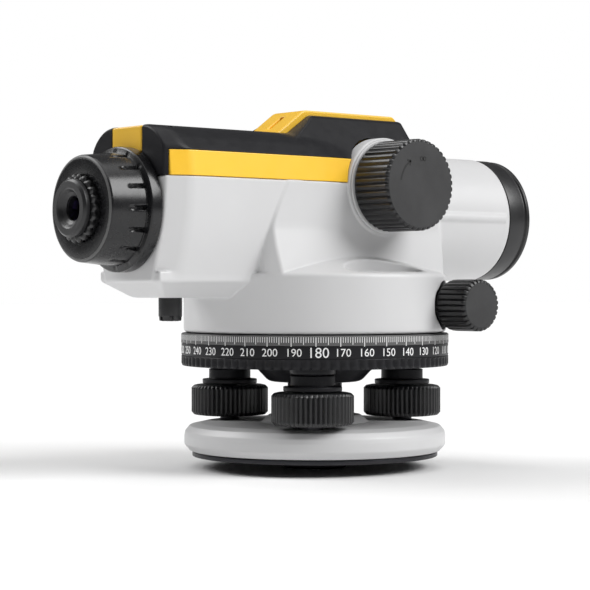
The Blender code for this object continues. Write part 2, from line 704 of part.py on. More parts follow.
# ---- compensator ----
def compensator():
    """Frame with a fixed prism, and a damped pendulum that carries another."""
    frame = box("compensator_frame", (-52.0, -17.0, 83.4), (-6.0, 17.0, 118.5), dark_metal())
    cut(frame, box("cut_frame_inside", (-49.0, -14.5, 86.0), (-9.0, 14.5, 130.0), None))
    cut(frame, disc("cut_frame_path", 11.5, -70.0, 10.0, (0, 0, SIGHT_Z), "X", None))
    cut(frame, box("cut_frame_sides", (-44.0, -30.0, 90.0), (-30.0, 30.0, 108.0), None))
    pivot = (PENDULUM_X, 0, PENDULUM_Z)
    join(frame, disc("join_pivot_pin", 1.2, -15.0, 15.0, pivot, "Y", None))

    arm_outline = [(PENDULUM_X - 3.5, PENDULUM_Z + 3.5), (PENDULUM_X + 3.5, PENDULUM_Z + 3.5),
                   (PENDULUM_X + 3.5, 106.3), (PENDULUM_X + 9.0, 103.0), (PENDULUM_X + 9.0, 100.0),
                   (PENDULUM_X - 9.0, 100.0), (PENDULUM_X - 9.0, 103.0), (PENDULUM_X - 3.5, 106.3)]
    arm = loft("pendulum_arm", [[(x, y, z) for x, z in arm_outline] for y in (-9.0, 9.0)],
               aluminium())
    cut(arm, disc("cut_arm_pivot", 1.6, -20.0, 20.0, pivot, "Y", None))
    prism_outline = [(PENDULUM_X - 8.0, 99.7), (PENDULUM_X, 91.6), (PENDULUM_X + 8.0, 99.7)]
    swinging = loft("pendulum_prism", [[(x, y, z) for x, z in prism_outline]
                                       for y in (-7.0, 7.0)], glass())
    hang_on("pendulum_pivot", pivot, arm, swinging)
    box("damping_magnet", (-30.0, -6.0, 86.3), (-18.0, 6.0, 89.2), steel())
    fixed_outline = [(-48.7, 107.0), (-40.7, 107.0), (-40.7, 90.0), (-48.7, 97.0)]
    loft("fixed_prism", [[(x, y, z) for x, z in fixed_outline] for y in (-8.0, 8.0)], glass())


# ---- bubble, button and screws ----
def bubble_level():
    """Circular vial in its cup, and the small mirror prism beside it."""
    place = (-1.5, 40.6, 0)
    profile = [(0, 73.0), (7.6, 73.0), (7.6, 75.2), (9.0, 75.2), (9.0, 72.1), (0, 72.1)]
    turned("bubble_housing", profile, place, "Z", black())
    vial = [(0, 74.9), (4.5, 74.7), (7.3, 74.0), (7.3, 73.3), (0, 73.3)]
    turned("bubble_vial", vial, place, "Z", liquid())
    outline = [(33.4, 75.6), (38.2, 75.6), (33.4, 81.0)]
    mirror = [[(x, y, z) for y, z in outline] for x in (-1.5, 5.5)]
    loft("bubble_prism", mirror, glass())


def check_button():
    """Push button under the tail, and its return spring."""
    profile = [(0, 67.5), (2.6, 67.5), (2.6, 66.0), (4.5, 66.0), (4.5, 57.0), (3.9, 55.6),
               (0, 55.6)]
    turned("check_button", profile, (BUTTON_X, 0, 0), "Z", black())
    ring("button_spring", 3.0, 4.1, 66.4, 76.5, (BUTTON_X, 0, 0), "Z", steel())


def cover_screws():
    """Screws that hold the two covers at the tail."""
    for side, name in ((1, "left"), (-1, "right")):
        disc(f"cover_screw_{name}", 1.9, 121.0, 126.5, (-84.0, side * 15.0, 0), "Z", steel())


def build():
    spring_plate()
    base_plate()
    tripod_bush()
    for number, degrees in enumerate(SCREW_ANGLES, start=1):
        foot_screw(number, degrees)
    tribrach_body()
    centre_spindle()
    horizontal_circle()
    worm_wheel()
    tangent_drive()
    main_housing()
    housing_floor()
    axis_bush()
    for name, side in (("left", 1), ("right", -1)):
        side_band(f"side_band_{name}", side)
        cover_shell(f"cover_shell_{name}", side)
    centre_strip()
    objective()
    focusing()
    focus_controls()
    eyepiece()
    compensator()
    bubble_level()
    check_button()
    cover_screws()
    raise_to_foot()


build()
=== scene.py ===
"""Looks of the automatic level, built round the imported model.

Sizes are in millimetres. Heights are counted from the datum under the base plate's rim, as
in the design, and are lifted by LIFT when a mesh is made. X is the sight line, with the
objective at +X; the focusing knob is on the -Y side and the circular bubble on the +Y side.
"""
import json
import math

import bmesh
import bpy
import numpy as np
from mathutils import Matrix, Vector


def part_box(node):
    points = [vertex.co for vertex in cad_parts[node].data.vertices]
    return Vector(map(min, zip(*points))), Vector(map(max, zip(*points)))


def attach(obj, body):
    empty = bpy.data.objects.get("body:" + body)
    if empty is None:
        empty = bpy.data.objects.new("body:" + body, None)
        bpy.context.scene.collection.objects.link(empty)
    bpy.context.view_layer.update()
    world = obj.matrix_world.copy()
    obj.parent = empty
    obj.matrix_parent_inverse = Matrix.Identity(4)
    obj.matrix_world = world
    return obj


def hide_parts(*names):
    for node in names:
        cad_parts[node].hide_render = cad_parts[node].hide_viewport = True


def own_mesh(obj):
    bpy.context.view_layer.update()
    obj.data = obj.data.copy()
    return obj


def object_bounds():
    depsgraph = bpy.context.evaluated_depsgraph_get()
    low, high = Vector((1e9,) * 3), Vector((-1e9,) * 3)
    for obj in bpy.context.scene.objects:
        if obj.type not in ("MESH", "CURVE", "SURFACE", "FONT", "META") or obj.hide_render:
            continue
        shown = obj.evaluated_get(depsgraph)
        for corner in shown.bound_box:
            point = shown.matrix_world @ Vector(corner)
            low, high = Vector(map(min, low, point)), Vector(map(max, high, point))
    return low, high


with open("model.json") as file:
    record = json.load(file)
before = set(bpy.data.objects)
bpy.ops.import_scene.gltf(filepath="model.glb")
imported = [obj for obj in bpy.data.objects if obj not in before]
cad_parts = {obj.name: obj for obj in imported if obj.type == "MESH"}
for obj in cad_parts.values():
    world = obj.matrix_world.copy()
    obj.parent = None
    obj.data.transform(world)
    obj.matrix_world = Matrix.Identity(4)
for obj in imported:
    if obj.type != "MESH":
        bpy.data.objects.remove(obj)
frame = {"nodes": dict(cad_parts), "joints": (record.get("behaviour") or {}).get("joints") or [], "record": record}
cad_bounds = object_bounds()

MM = 0.001
TAU = 2 * math.pi
JOINTS = {joint["name"]: joint for joint in frame["joints"]}


def corners(node):
    """Lowest and highest corner of a CAD node, in millimetres."""
    low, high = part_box(node)
    return low / MM, high / MM


def pivot(joint):
    """A place on the joint's axis, in millimetres."""
    return [c / MM for c in JOINTS[joint]["pos_m"]]


PLATE_RIM_LOW = 2.9
LIFT = corners("base_plate")[0].z - PLATE_RIM_LOW
CIRCLE_LOW, CIRCLE_HIGH = (c.z - LIFT for c in corners("horizontal_circle"))
CIRCLE_R = corners("horizontal_circle")[1].x
SIGHT_Z = pivot("diopter_turn")[2] - LIFT
DRIVE_X = pivot("drive_turn")[0]
DRIVE_Z = pivot("drive_turn")[2] - LIFT
FOCUS_X = pivot("focus_turn")[0]
FOCUS_Z = pivot("focus_turn")[2] - LIFT
SCREWS = [pivot(f"foot_screw_{n}_turn")[:2] for n in (1, 2, 3)]
BUTTON_X = sum(c.x for c in corners("check_button")) / 2
DRUM_R = 53.0
DRUM_LOW = CIRCLE_HIGH + 0.4
SKIRT_LOW = 72.4
WAIST_Z = 92.0
BAND_LOW = 109.5
BAND_HIGH = 119.0
TUBE_R = 26.2
TUBE_END = 86.5
REAR_X = -92.0
CHAMFER_X = -84.0
COVER_SCREW = (-84.0, 15.0)
BUBBLE = (-1.5, 40.6)
STRIP_HALF = 9.4
BOSS_R = 19.4
GAP = 0.3
SEAM = 0.12
SHARP_ANGLE = math.radians(32)


# ---- fields: negative inside, and about one millimetre per millimetre ----
def meet(r, *parts):
    """What all the parts share, with edges rounded by about r."""
    whole = parts[0]
    for part in parts[1:]:
        h = np.maximum(r - np.abs(whole - part), 0) / r
        whole = np.maximum(whole, part) + h * h * r / 4
    return whole


def merge(r, *parts):
    """All the parts together, with the corners between them filled by about r."""
    return -meet(r, *(-part for part in parts))


def carve(r, solid, *tools):
    """The solid without the tools, with edges rounded by about r."""
    return meet(r, solid, *(-tool for tool in tools))


def wall(across, along, a0, w0, a1, w1):
    """A sloping wall: across is at most w0 where along is a0, and w1 where it is a1."""
    slope = (w1 - w0) / (a1 - a0)
    return (across - w0 - (along - a0) * slope) / math.hypot(1, slope)


def facet(x, y, z, through, normal):
    """A plane through a point; its normal points out of the solid."""
    n = Vector(normal).normalized()
    return (x - through[0]) * n.x + (y - through[1]) * n.y + (z - through[2]) * n.z


def rod(u, v, centre, radius):
    """A round bar across the plane of u and v."""
    return np.hypot(u - centre[0], v - centre[1]) - radius


def ramp(value, start, end):
    """0 before start, 1 after end, smooth between."""
    t = np.clip((value - start) / (end - start), 0, 1)
    return t * t * (3 - 2 * t)


# ---- from a field to a mesh ----
CORNERS = [(i, j, k) for i in (0, 1) for j in (0, 1) for k in (0, 1)]
EDGES = [(a, b) for a in range(8) for b in range(a + 1, 8)
         if sum(p != q for p, q in zip(CORNERS[a], CORNERS[b])) == 1]


def net(field, low, high, cell):
    """Points and four-sided faces of the surface where the field is zero."""
    axes = [np.arange(a, b + cell, cell, dtype=np.float32) for a, b in zip(low, high)]
    shape = tuple(len(a) for a in axes)
    grid = np.broadcast_to(field(axes[0][:, None, None], axes[1][None, :, None],
                                 axes[2][None, None, :]), shape)
    inside = grid < 0
    count = np.zeros(tuple(n - 1 for n in shape), np.uint8)
    for i, j, k in CORNERS:
        count += inside[i:shape[0] - 1 + i, j:shape[1] - 1 + j, k:shape[2] - 1 + k]
    cells = np.argwhere((count > 0) & (count < 8))
    values = [grid[cells[:, 0] + i, cells[:, 1] + j, cells[:, 2] + k] for i, j, k in CORNERS]
    total = np.zeros((len(cells), 3))
    hits = np.zeros(len(cells))
    for a, b in EDGES:
        crossed = (values[a] < 0) != (values[b] < 0)
        share = np.where(crossed, values[a] / np.where(crossed, values[a] - values[b], 1), 0)
        step = np.array(CORNERS[b]) - np.array(CORNERS[a])
        point = np.array(CORNERS[a]) + share[:, None] * step
        total += point * crossed[:, None]
        hits += crossed
    points = np.array(low) + (cells + total / hits[:, None]) * cell
    number = np.full(count.shape, -1, np.int32)
    number[tuple(cells.T)] = np.arange(len(cells))
    faces = []
    for axis in range(3):
        u, v = [n for n in range(3) if n != axis]
        first = [slice(None)] * 3
        second = [slice(None)] * 3
        first[axis], second[axis] = slice(0, -1), slice(1, None)
        one, other = inside[tuple(first)], inside[tuple(second)]
        for sign, crossing in ((1, one & ~other), (-1, other & ~one)):
            at = np.argwhere(crossing)
            at = at[(at[:, u] > 0) & (at[:, v] > 0)]
            quad = []
            for du, dv in ((-1, -1), (0, -1), (0, 0), (-1, 0)):
                shifted = at.copy()
                shifted[:, u] += du
                shifted[:, v] += dv
                quad.append(number[tuple(shifted.T)])
            quad = np.stack(quad, 1)
            flip = (sign < 0) != (axis == 1)
            faces.append(quad[:, ::-1] if flip else quad)
    return points, np.concatenate(faces)


def slope_of(field, points, reach=0.02):
    """Which way the field grows at each point, and how fast."""
    gradient = np.empty_like(points)
    for axis in range(3):
        shift = np.zeros(3)
        shift[axis] = reach
        ahead, behind = points + shift, points - shift
        gradient[:, axis] = (field(*ahead.T) - field(*behind.T)) / (2 * reach)
    return gradient


def settle(field, points, limit):
    """Move points onto the surface, each by at most limit."""
    for _ in range(2):
        gradient = slope_of(field, points)
        square = np.maximum((gradient ** 2).sum(1), 0.05)
        move = -(field(*points.T) / square)[:, None] * gradient
        length = np.maximum(np.linalg.norm(move, axis=1), 1e-9)
        points = points + move * np.minimum(1, limit / length)[:, None]
    return points


def mesh_from(name, points, faces):
    """A mesh in metres from points in the design's millimetres."""
    mesh = bpy.data.meshes.new(name)
    world = (points + np.array((0, 0, LIFT))) * MM
    corner_count = faces.shape[1]
    mesh.vertices.add(len(points))
    mesh.vertices.foreach_set("co", world.astype(np.float32).ravel())
    mesh.loops.add(faces.size)
    mesh.loops.foreach_set("vertex_index", faces.astype(np.int32).ravel())
    mesh.polygons.add(len(faces))
    mesh.polygons.foreach_set("loop_start", np.arange(0, faces.size, corner_count, dtype=np.int32))
    mesh.update(calc_edges=True)
    mesh.shade_smooth()
    return mesh


def link(obj):
    bpy.context.scene.collection.objects.link(obj)


def place(obj, body, finish, replaced=()):
    """Give a piece its material, its body and the CAD nodes that it stands for."""
    if obj.name not in bpy.context.scene.collection.objects:
        link(obj)
    obj.data.materials.clear()
    obj.data.materials.append(finish)
    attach(obj, body)
    if replaced:
        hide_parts(*replaced)
    return obj


def moulded(name, field, low, high, cell, keep=1.0):
    """A piece from a field. keep is the share of triangles that stays after thinning."""
    points, faces = net(field, low, high, cell)
    points = settle(field, points, cell * 0.6)
    obj = bpy.data.objects.new(name, mesh_from(name, points, faces))
    if keep < 1:
        link(obj)
        thin = obj.modifiers.new("thin", "DECIMATE")
        thin.ratio = keep
        graph = bpy.context.evaluated_depsgraph_get()
        thinned = bpy.data.meshes.new_from_object(obj.evaluated_get(graph))
        obj.modifiers.clear()
        obj.data = thinned
    count = len(obj.data.vertices)
    flat = np.empty(count * 3, np.float32)
    obj.data.vertices.foreach_get("co", flat)
    design = flat.reshape(-1, 3).astype(float) / MM - np.array((0, 0, LIFT))
    normals = slope_of(field, design)
    normals /= np.maximum(np.linalg.norm(normals, axis=1), 1e-6)[:, None]
    obj.data.shade_smooth()
    obj.data.normals_split_custom_set_from_vertices(normals.tolist())
    return obj


def finished(bm, name):
    """The object that a bmesh makes; the bmesh is freed."""
    mesh = bpy.data.meshes.new(name)
    bm.to_mesh(mesh)
    bm.free()
    return bpy.data.objects.new(name, mesh)


def to_world(bm):
    """From the design's millimetres to metres on the floor."""
    bmesh.ops.translate(bm, vec=(0, 0, LIFT), verts=bm.verts)
    bmesh.ops.scale(bm, vec=(MM, MM, MM), verts=bm.verts)


# ---- turned pieces ----
def softened(profile, radius, closed=False, steps=4):
    """Round the corners of a profile with short arcs."""
    points = [Vector(p) for p in profile]
    count = len(points)
    result = []
    for i, point in enumerate(points):
        if not closed and i in (0, count - 1):
            result.append(tuple(point))
            continue
        before, after = points[i - 1], points[(i + 1) % count]
        back, ahead = before - point, after - point
        turn = math.pi - back.angle(ahead)
        if turn < 0.12:
            result.append(tuple(point))
            continue
        reach = min(radius * math.tan(turn / 2), back.length * 0.45, ahead.length * 0.45)
        start = point + back.normalized() * reach
        end = point + ahead.normalized() * reach
        for s in range(steps + 1):
            t = s / steps
            bend = start * (1 - t) ** 2 + point * 2 * t * (1 - t) + end * t ** 2
            result.append(tuple(bend))
    return result


def turned(name, profile, centre, axis, sides=144, soft=0.3, closed=False, ripple=None):
    """A turned piece. Profile points are (radius, distance along the axis), down its outer side.

    ripple gives how far a point at (angle, radius, distance) moves outward, for flutes.
    """
    outline = softened(profile, soft, closed)
    angles = np.arange(sides) * TAU / sides
    rings = []
    points = []
    for radius, along in outline:
        if radius < 1e-6:
            rings.append([len(points)] * sides)
            points.append((0, 0, along))
            continue
        reach = np.full(sides, radius)
        if ripple:
            reach = reach + ripple(angles, radius, along)
        rings.append(range(len(points), len(points) + sides))
        points.extend(zip(reach * np.cos(angles), reach * np.sin(angles), [along] * sides))
    bm = bmesh.new()
    verts = [bm.verts.new(p) for p in points]
    pairs = list(zip(rings, rings[1:]))
    if closed:
        pairs.append((rings[-1], rings[0]))
    for upper, lower in pairs:
        for i in range(sides):
            j = (i + 1) % sides
            loop = [upper[i], lower[i], lower[j], upper[j]]
            unique = list(dict.fromkeys(loop))
            if len(unique) > 2:
                bm.faces.new([verts[n] for n in unique])
    turns = {
        "Z": Matrix.Identity(3),
        "X": Matrix(((0, 0, 1), (0, 1, 0), (-1, 0, 0))),
        "-X": Matrix(((0, 0, -1), (0, 1, 0), (1, 0, 0))),
        "Y": Matrix(((1, 0, 0), (0, 0, 1), (0, -1, 0))),
        "-Y": Matrix(((1, 0, 0), (0, 0, -1), (0, 1, 0))),
    }
    bmesh.ops.transform(bm, matrix=turns[axis].to_4x4(), verts=bm.verts)
    bmesh.ops.translate(bm, vec=centre, verts=bm.verts)
    to_world(bm)
    bmesh.ops.recalc_face_normals(bm, faces=bm.faces)
    piece = finished(bm, name)
    piece.data.shade_smooth()
    piece.data.set_sharp_from_angle(angle=SHARP_ANGLE)
    return piece


def flutes(count, depth, low, high, least=0.0, fade=0.8, power=2.0):
    """Ripple of narrow grooves between rounded ribs, for distances from low to high."""
    def ripple(angles, radius, along):
        if radius < least:
            return 0.0
        edge = min(along - low, high - along)
        strength = min(max(edge / fade, 0.0), 1.0)
        groove = (0.5 + 0.5 * np.cos(count * angles)) ** power
        return -depth * strength * groove
    return ripple


def dense(start, end, step):
    """Values from start to end, about step apart."""
    count = max(1, round(abs(end - start) / step))
    return [start + (end - start) * i / count for i in range(count + 1)]


# ---- materials ----
def shader(name, colour, roughness, metallic=0.0, **more):
    """A Principled material; more sets other sockets by name."""
    made = bpy.data.materials.new(name)
    made.use_nodes = True
    principled = made.node_tree.nodes["Principled BSDF"]
    principled.inputs["Base Color"].default_value = (*colour, 1)
    principled.inputs["Roughness"].default_value = roughness
    principled.inputs["Metallic"].default_value = metallic
    for socket, value in more.items():
        principled.inputs[socket.replace("_", " ")].default_value = value
    return made


def feed(made, output, socket):
    """Wire an output to a socket of the material's shader."""
    tree = made.node_tree
    tree.links.new(output, tree.nodes["Principled BSDF"].inputs[socket])


def mapped(tree, value, source, target):
    """A value carried from the source range to the target range."""
    mapping = tree.nodes.new("ShaderNodeMapRange")
    for name, number in zip(("From Min", "From Max", "To Min", "To Max"), (*source, *target)):
        mapping.inputs[name].default_value = number
    tree.links.new(value, mapping.inputs["Value"])
    return mapping.outputs["Result"]


def two_tone(made, factor, first, second):
    """Colour that goes from first to second as the factor goes from 0 to 1."""
    mix = made.node_tree.nodes.new("ShaderNodeMix")
    mix.data_type = "RGBA"
    mix.inputs["A"].default_value = (*first, 1)
    mix.inputs["B"].default_value = (*second, 1)
    made.node_tree.links.new(factor, mix.inputs["Factor"])
    feed(made, mix.outputs["Result"], "Base Color")


def noise(made, scale, detail=3.0, stretch=None):
    """Noise fixed to the object, with about scale grains to the metre."""
    nodes, links = made.node_tree.nodes, made.node_tree.links
    where = nodes.new("ShaderNodeTexCoord")
    texture = nodes.new("ShaderNodeTexNoise")
    texture.inputs["Scale"].default_value = scale
    texture.inputs["Detail"].default_value = detail
    source = where.outputs["Object"]
    if stretch:
        mapping = nodes.new("ShaderNodeMapping")
        mapping.inputs["Scale"].default_value = stretch
        links.new(source, mapping.inputs["Vector"])
        source = mapping.outputs["Vector"]
    links.new(source, texture.inputs["Vector"])
    return texture.outputs["Fac"]


def spread(made, value, low, high):
    """A noise value mapped from its middle range to low and high."""
    return mapped(made.node_tree, value, (0.3, 0.7), (low, high))


def grain(made, scale, height, detail=3.0, stretch=None):
    """Bump of the given height in millimetres."""
    bump = made.node_tree.nodes.new("ShaderNodeBump")
    bump.inputs["Strength"].default_value = 1.0
    bump.inputs["Distance"].default_value = height * MM
    made.node_tree.links.new(noise(made, scale, detail, stretch), bump.inputs["Height"])
    feed(made, bump.outputs["Normal"], "Normal")


def vary(made, scale, low, high, detail=4.0, stretch=None):
    """Roughness that drifts between low and high over the surface."""
    feed(made, spread(made, noise(made, scale, detail, stretch), low, high), "Roughness")


def tint(made, scale, dark, light, detail=4.0, stretch=None):
    """Colour that drifts between two shades."""
    two_tone(made, spread(made, noise(made, scale, detail, stretch), 0, 1), dark, light)


def shades(colour, share):
    """The colour made darker and lighter by a share."""
    return tuple(c * (1 - share) for c in colour), tuple(min(c * (1 + share), 1) for c in colour)


def paint_finish():
    """Light satin paint with a very fine orange peel."""
    colour = (0.62, 0.62, 0.625)
    made = shader("light_paint", colour, 0.44, Coat_Weight=0.12, Coat_Roughness=0.25)
    tint(made, 45, *shades(colour, 0.012))
    vary(made, 160, 0.40, 0.50)
    grain(made, 1500, 0.004)
    return made


def yellow_finish():
    colour = (0.95, 0.56, 0.035)
    made = shader("yellow_plastic", colour, 0.36, Coat_Weight=0.15, Coat_Roughness=0.2)
    tint(made, 60, *shades(colour, 0.02))
    vary(made, 200, 0.32, 0.42)
    grain(made, 2600, 0.006)
    return made


def black_finish(name="black_plastic", colour=(0.012, 0.012, 0.014), low=0.34, high=0.44,
                 height=0.010, gloss=0.20, coat=0.0):
    """Black moulded or anodised surface; low and high are its roughness."""
    made = shader(name, colour, (low + high) / 2, Specular_IOR_Level=gloss,
                  Coat_Weight=coat, Coat_Roughness=0.22)
    tint(made, 90, *shades(colour, 0.12))
    vary(made, 300, low, high)
    grain(made, 3400, height)
    return made


def metal_finish(name, colour, low, high, stretch=None, height=0.003):
    made = shader(name, colour, (low + high) / 2, 1.0)
    tint(made, 120, *shades(colour, 0.06), stretch=stretch)
    vary(made, 500, low, high, stretch=stretch)
    grain(made, 2500, height, stretch=stretch)
    return made


def lens_finish(name, deep, painted_highlight, height, reach):
    """Coated glass, violet above; the paler colour below is a painted highlight, and the noise mottle is painted
    reflection, as in a doublet.
    """
    made = shader(name, deep, 0.08, 0.85, Coat_Weight=1.0, Coat_Roughness=0.03, Coat_IOR=1.6)
    nodes, links = made.node_tree.nodes, made.node_tree.links
    where = nodes.new("ShaderNodeTexCoord")
    split = nodes.new("ShaderNodeSeparateXYZ")
    links.new(where.outputs["Object"], split.inputs["Vector"])
    # The colour grows paler towards the bottom of the lens: a painted highlight.
    ends = [(height + side * reach + LIFT) * MM for side in (-1, 1)]
    highlight_fade = mapped(made.node_tree, split.outputs["Z"], ends, (0, 1))
    # Noise that shifts the colour to and fro: painted reflections.
    painted_mottle = nodes.new("ShaderNodeMath")
    painted_mottle.operation = "MULTIPLY_ADD"
    links.new(noise(made, 130, 2.0), painted_mottle.inputs[0])
    painted_mottle.inputs[1].default_value = 1.6
    painted_mottle.inputs[2].default_value = -0.8
    total = nodes.new("ShaderNodeMath")
    total.use_clamp = True
    links.new(highlight_fade, total.inputs[0])
    links.new(painted_mottle.outputs["Value"], total.inputs[1])
    two_tone(made, total.outputs["Value"], painted_highlight, deep)
    vary(made, 90, 0.06, 0.12)
    return made


def glass_finish(name, colour, roughness, coat, scale, share):
    made = shader(name, colour, roughness, Coat_Weight=1.0, Coat_Roughness=coat)
    tint(made, scale, *shades(colour, share))
    return made


def print_finish(name, colour):
    made = shader(name, colour, 0.55)
    tint(made, 900, *shades(colour, 0.06))
    return made


PAINT = paint_finish()
YELLOW = yellow_finish()
BLACK = black_finish()
KNOB = black_finish("knob_plastic", (0.010, 0.010, 0.011), 0.34, 0.42, 0.004, 0.45, 0.15)
GLOSS = black_finish("gloss_plastic", (0.006, 0.006, 0.007), 0.22, 0.30, 0.003, 0.35, 0.22)
FACE = black_finish("knob_face", (0.052, 0.052, 0.053), 0.50, 0.60, 0.016)
ANODISED = black_finish("black_anodised", (0.008, 0.008, 0.009), 0.34, 0.42, 0.003, 0.45, 0.15)
RUBBER = black_finish("rubber", (0.02, 0.02, 0.02), 0.62, 0.74, 0.014)
RIM = black_finish("hood_face", (0.060, 0.060, 0.060), 0.36, 0.46, 0.004)
STEEL = metal_finish("steel", (0.58, 0.58, 0.60), 0.22, 0.36)
DARK_STEEL = metal_finish("dark_steel", (0.05, 0.05, 0.055), 0.34, 0.46)
BRASS = metal_finish("brass", (0.74, 0.56, 0.24), 0.24, 0.38)
ALUMINIUM = metal_finish("aluminium", (0.72, 0.73, 0.75), 0.28, 0.42)
# Both lenses carry a painted highlight below and painted reflections as noise mottle.
LENS = lens_finish("coated_glass", (0.16, 0.08, 0.80), (0.88, 0.55, 1.0), SIGHT_Z - 4, 16)
EYE_LENS = lens_finish("eyepiece_glass", (0.08, 0.05, 0.40), (0.40, 0.25, 0.90), SIGHT_Z, 6)
VIAL = glass_finish("vial_glass", (0.55, 0.85, 0.12), 0.04, 0.02, 200, 0.05)
BAND = black_finish("tick_band", (0.095, 0.095, 0.095), 0.40, 0.50, 0.004, 0.5)
# Near-white glass for the bubble's prism: the whiteness is a painted highlight of its mirror.
PRISM_GLINT = glass_finish("prism_painted_glint", (0.86, 0.88, 0.90), 0.12, 0.03, 150, 0.03)
PRINT = print_finish("white_print", (0.86, 0.86, 0.86))
MARK = print_finish("dark_mark", (0.008, 0.008, 0.008))

FINISHES = {
    "light_paint": PAINT, "yellow_plastic": YELLOW, "black_plastic": BLACK,
    "black_anodised": ANODISED, "dark_steel": DARK_STEEL, "steel": STEEL, "brass": BRASS,
    "aluminium": ALUMINIUM, "coated_glass": LENS, "vial_glass": VIAL, "rubber": RUBBER,
}


def dress_cad_nodes():
    """Every CAD node gets the finish of its slot; those that are replaced don't show."""
    # The bubble prism is near-white as a painted highlight; the centre spindle is black.
    special = {"bubble_prism": PRISM_GLINT, "centre_spindle": BLACK}
    slots = {part["node"]: part["material_slot"] for part in frame["record"]["subparts"]}
    for node, obj in frame["nodes"].items():
        obj.data.materials.clear()
        obj.data.materials.append(special.get(node, FINISHES[slots[node]]))


# ---- base ----
def base_plate():
    profile = [(16.3, 17.0), (18.4, 17.3), (21.8, 14.2), (46.0, 14.0), (50.6, 13.0),
               (52.4, 10.8), (52.7, 9.0), (52.7, 5.6), (50.4, 2.9), (44.0, 2.9), (44.0, 6.5),
               (16.3, 6.5)]
    plate = turned("base_plate_casting", profile, (0, 0, 0), "Z", 256, 1.4, closed=True)
    place(plate, "base", PAINT, ["base_plate"])
    ring = turned("spring_plate_disc", [(13.3, 2.6), (49.5, 2.6), (49.5, 0.8), (13.3, 0.8)],
                  (0, 0, 0), "Z", 192, 0.3, closed=True)
    place(ring, "base", DARK_STEEL, ["spring_plate"])


def tripod_bush():
    """Bush with its inch thread, 11 turns to the inch, and a painted dome on top."""
    pitch, depth, bore = 25.4 / 11, 1.25, 7.0
    foot = corners("tripod_bush")[0].z - LIFT
    thread = [(bore, h) for h in dense(foot + 1.4, 11.0, pitch / 10)]

    def screw_thread(angles, radius, along):
        if abs(radius - bore) > 0.01 or along < foot + 2.0:
            return 0.0
        phase = (along / pitch + angles / TAU) % 1.0
        return -depth * (1 - np.abs(2 * phase - 1)) * min((along - foot - 2.0) / 1.5, 1.0)

    profile = [(0, 14.4), (9.4, 14.4), (9.8, 13.8), (16.0, 13.8), (16.0, 3.0), (13.0, 3.0),
               (13.0, foot + 0.6), (12.4, foot), (8.4, foot), *thread, (bore, 11.5), (0, 11.5)]
    bush = turned("tripod_bush_body", profile, (0, 0, 0), "Z", 96, 0.2, ripple=screw_thread)
    place(bush, "base", DARK_STEEL, ["tripod_bush"])
    dome = turned("bush_dome", [(0, 17.6), (4.5, 17.1), (8.0, 15.8), (9.2, 14.5), (0, 14.5)],
                  (0, 0, 0), "Z", 96, 1.5)
    place(dome, "base", PAINT)


def foot_screws():
    ribs = flutes(50, 0.75, 16.0, 28.0, least=14.0, fade=0.7, power=1.6)
    knob = [(3.4, 28.2), (13.6, 28.2), (14.9, 27.9), (15.9, 26.9), *[(15.9, h) for h in
            dense(26.2, 17.8, 2.1)], (15.9, 17.0), (14.8, 15.8), (12.6, 15.5), (3.4, 15.5)]
    spindle = [(0, 44.5), (2.5, 44.5), (3.1, 43.9), (3.1, 15.3), (4.0, 15.3), (4.0, 10.5),
               (2.8, 9.3), (0, 9.3)]
    sleeve = [(3.4, 34.7), (8.6, 34.7), (8.6, 30.8), (11.3, 30.5), (11.3, 28.7), (3.4, 28.7)]
    for number, (x, y) in enumerate(SCREWS, start=1):
        at = (x, y, 0)
        body = f"foot_screw_{number}"
        place(turned(f"levelling_knob_{number}", knob, at, "Z", 400, 0.35, True, ribs),
              body, KNOB, [f"foot_screw_knob_{number}"])
        place(turned(f"levelling_spindle_{number}", spindle, at, "Z", 64, 0.2),
              body, DARK_STEEL, [f"foot_screw_spindle_{number}"])
        place(turned(f"levelling_sleeve_{number}", sleeve, at, "Z", 96, 0.35, True),
              "base", BLACK, [f"foot_screw_sleeve_{number}"])


def tribrach_field(x, y, z):
    radius = np.hypot(x, y)
    hub = meet(1.5, wall(radius, z, 30.5, 18.6, 36.5, 24.2), radius - 24.2, 30.5 - z, z - 42.0)
    solid = hub
    for sx, sy in SCREWS:
        reach = math.hypot(sx, sy)
        along = (x * sx + y * sy) / reach
        aside = np.abs(x * sy - y * sx) / reach
        arm = meet(1.5, wall(aside, along, 15.0, 10.0, reach, 8.0), along - reach, 10.0 - along,
                   35.5 - z, z - 41.2)
        boss = meet(0.8, rod(x, y, (sx, sy), 8.6), 35.0 - z, z - 46.0)
        solid = merge(2.0, solid, arm, boss)
    for sx, sy in SCREWS:
        solid = carve(0.5, solid, meet(0.5, rod(x, y, (sx, sy), 3.4), z - 44.9))
    return carve(0.6, solid, radius - 11.3)


def tribrach():
    body = moulded("tribrach_casting", tribrach_field, (-52, -52, 29), (52, 52, 48), 0.7, 0.4)
    place(body, "base", BLACK, ["tribrach_body"])


# ---- horizontal circle ----
TICK_BAND = 3.9
RIB_BAND = 4.0
ZERO_ANGLE = 51.0
TICKS = {10: (3.6, 0.30), 5: (2.9, 0.26), 1: (2.1, 0.22)}
BLOCK_FACES = ((0, 1, 2, 3), (4, 7, 6, 5), (0, 4, 5, 1), (1, 5, 6, 2), (2, 6, 7, 3), (3, 7, 4, 0))


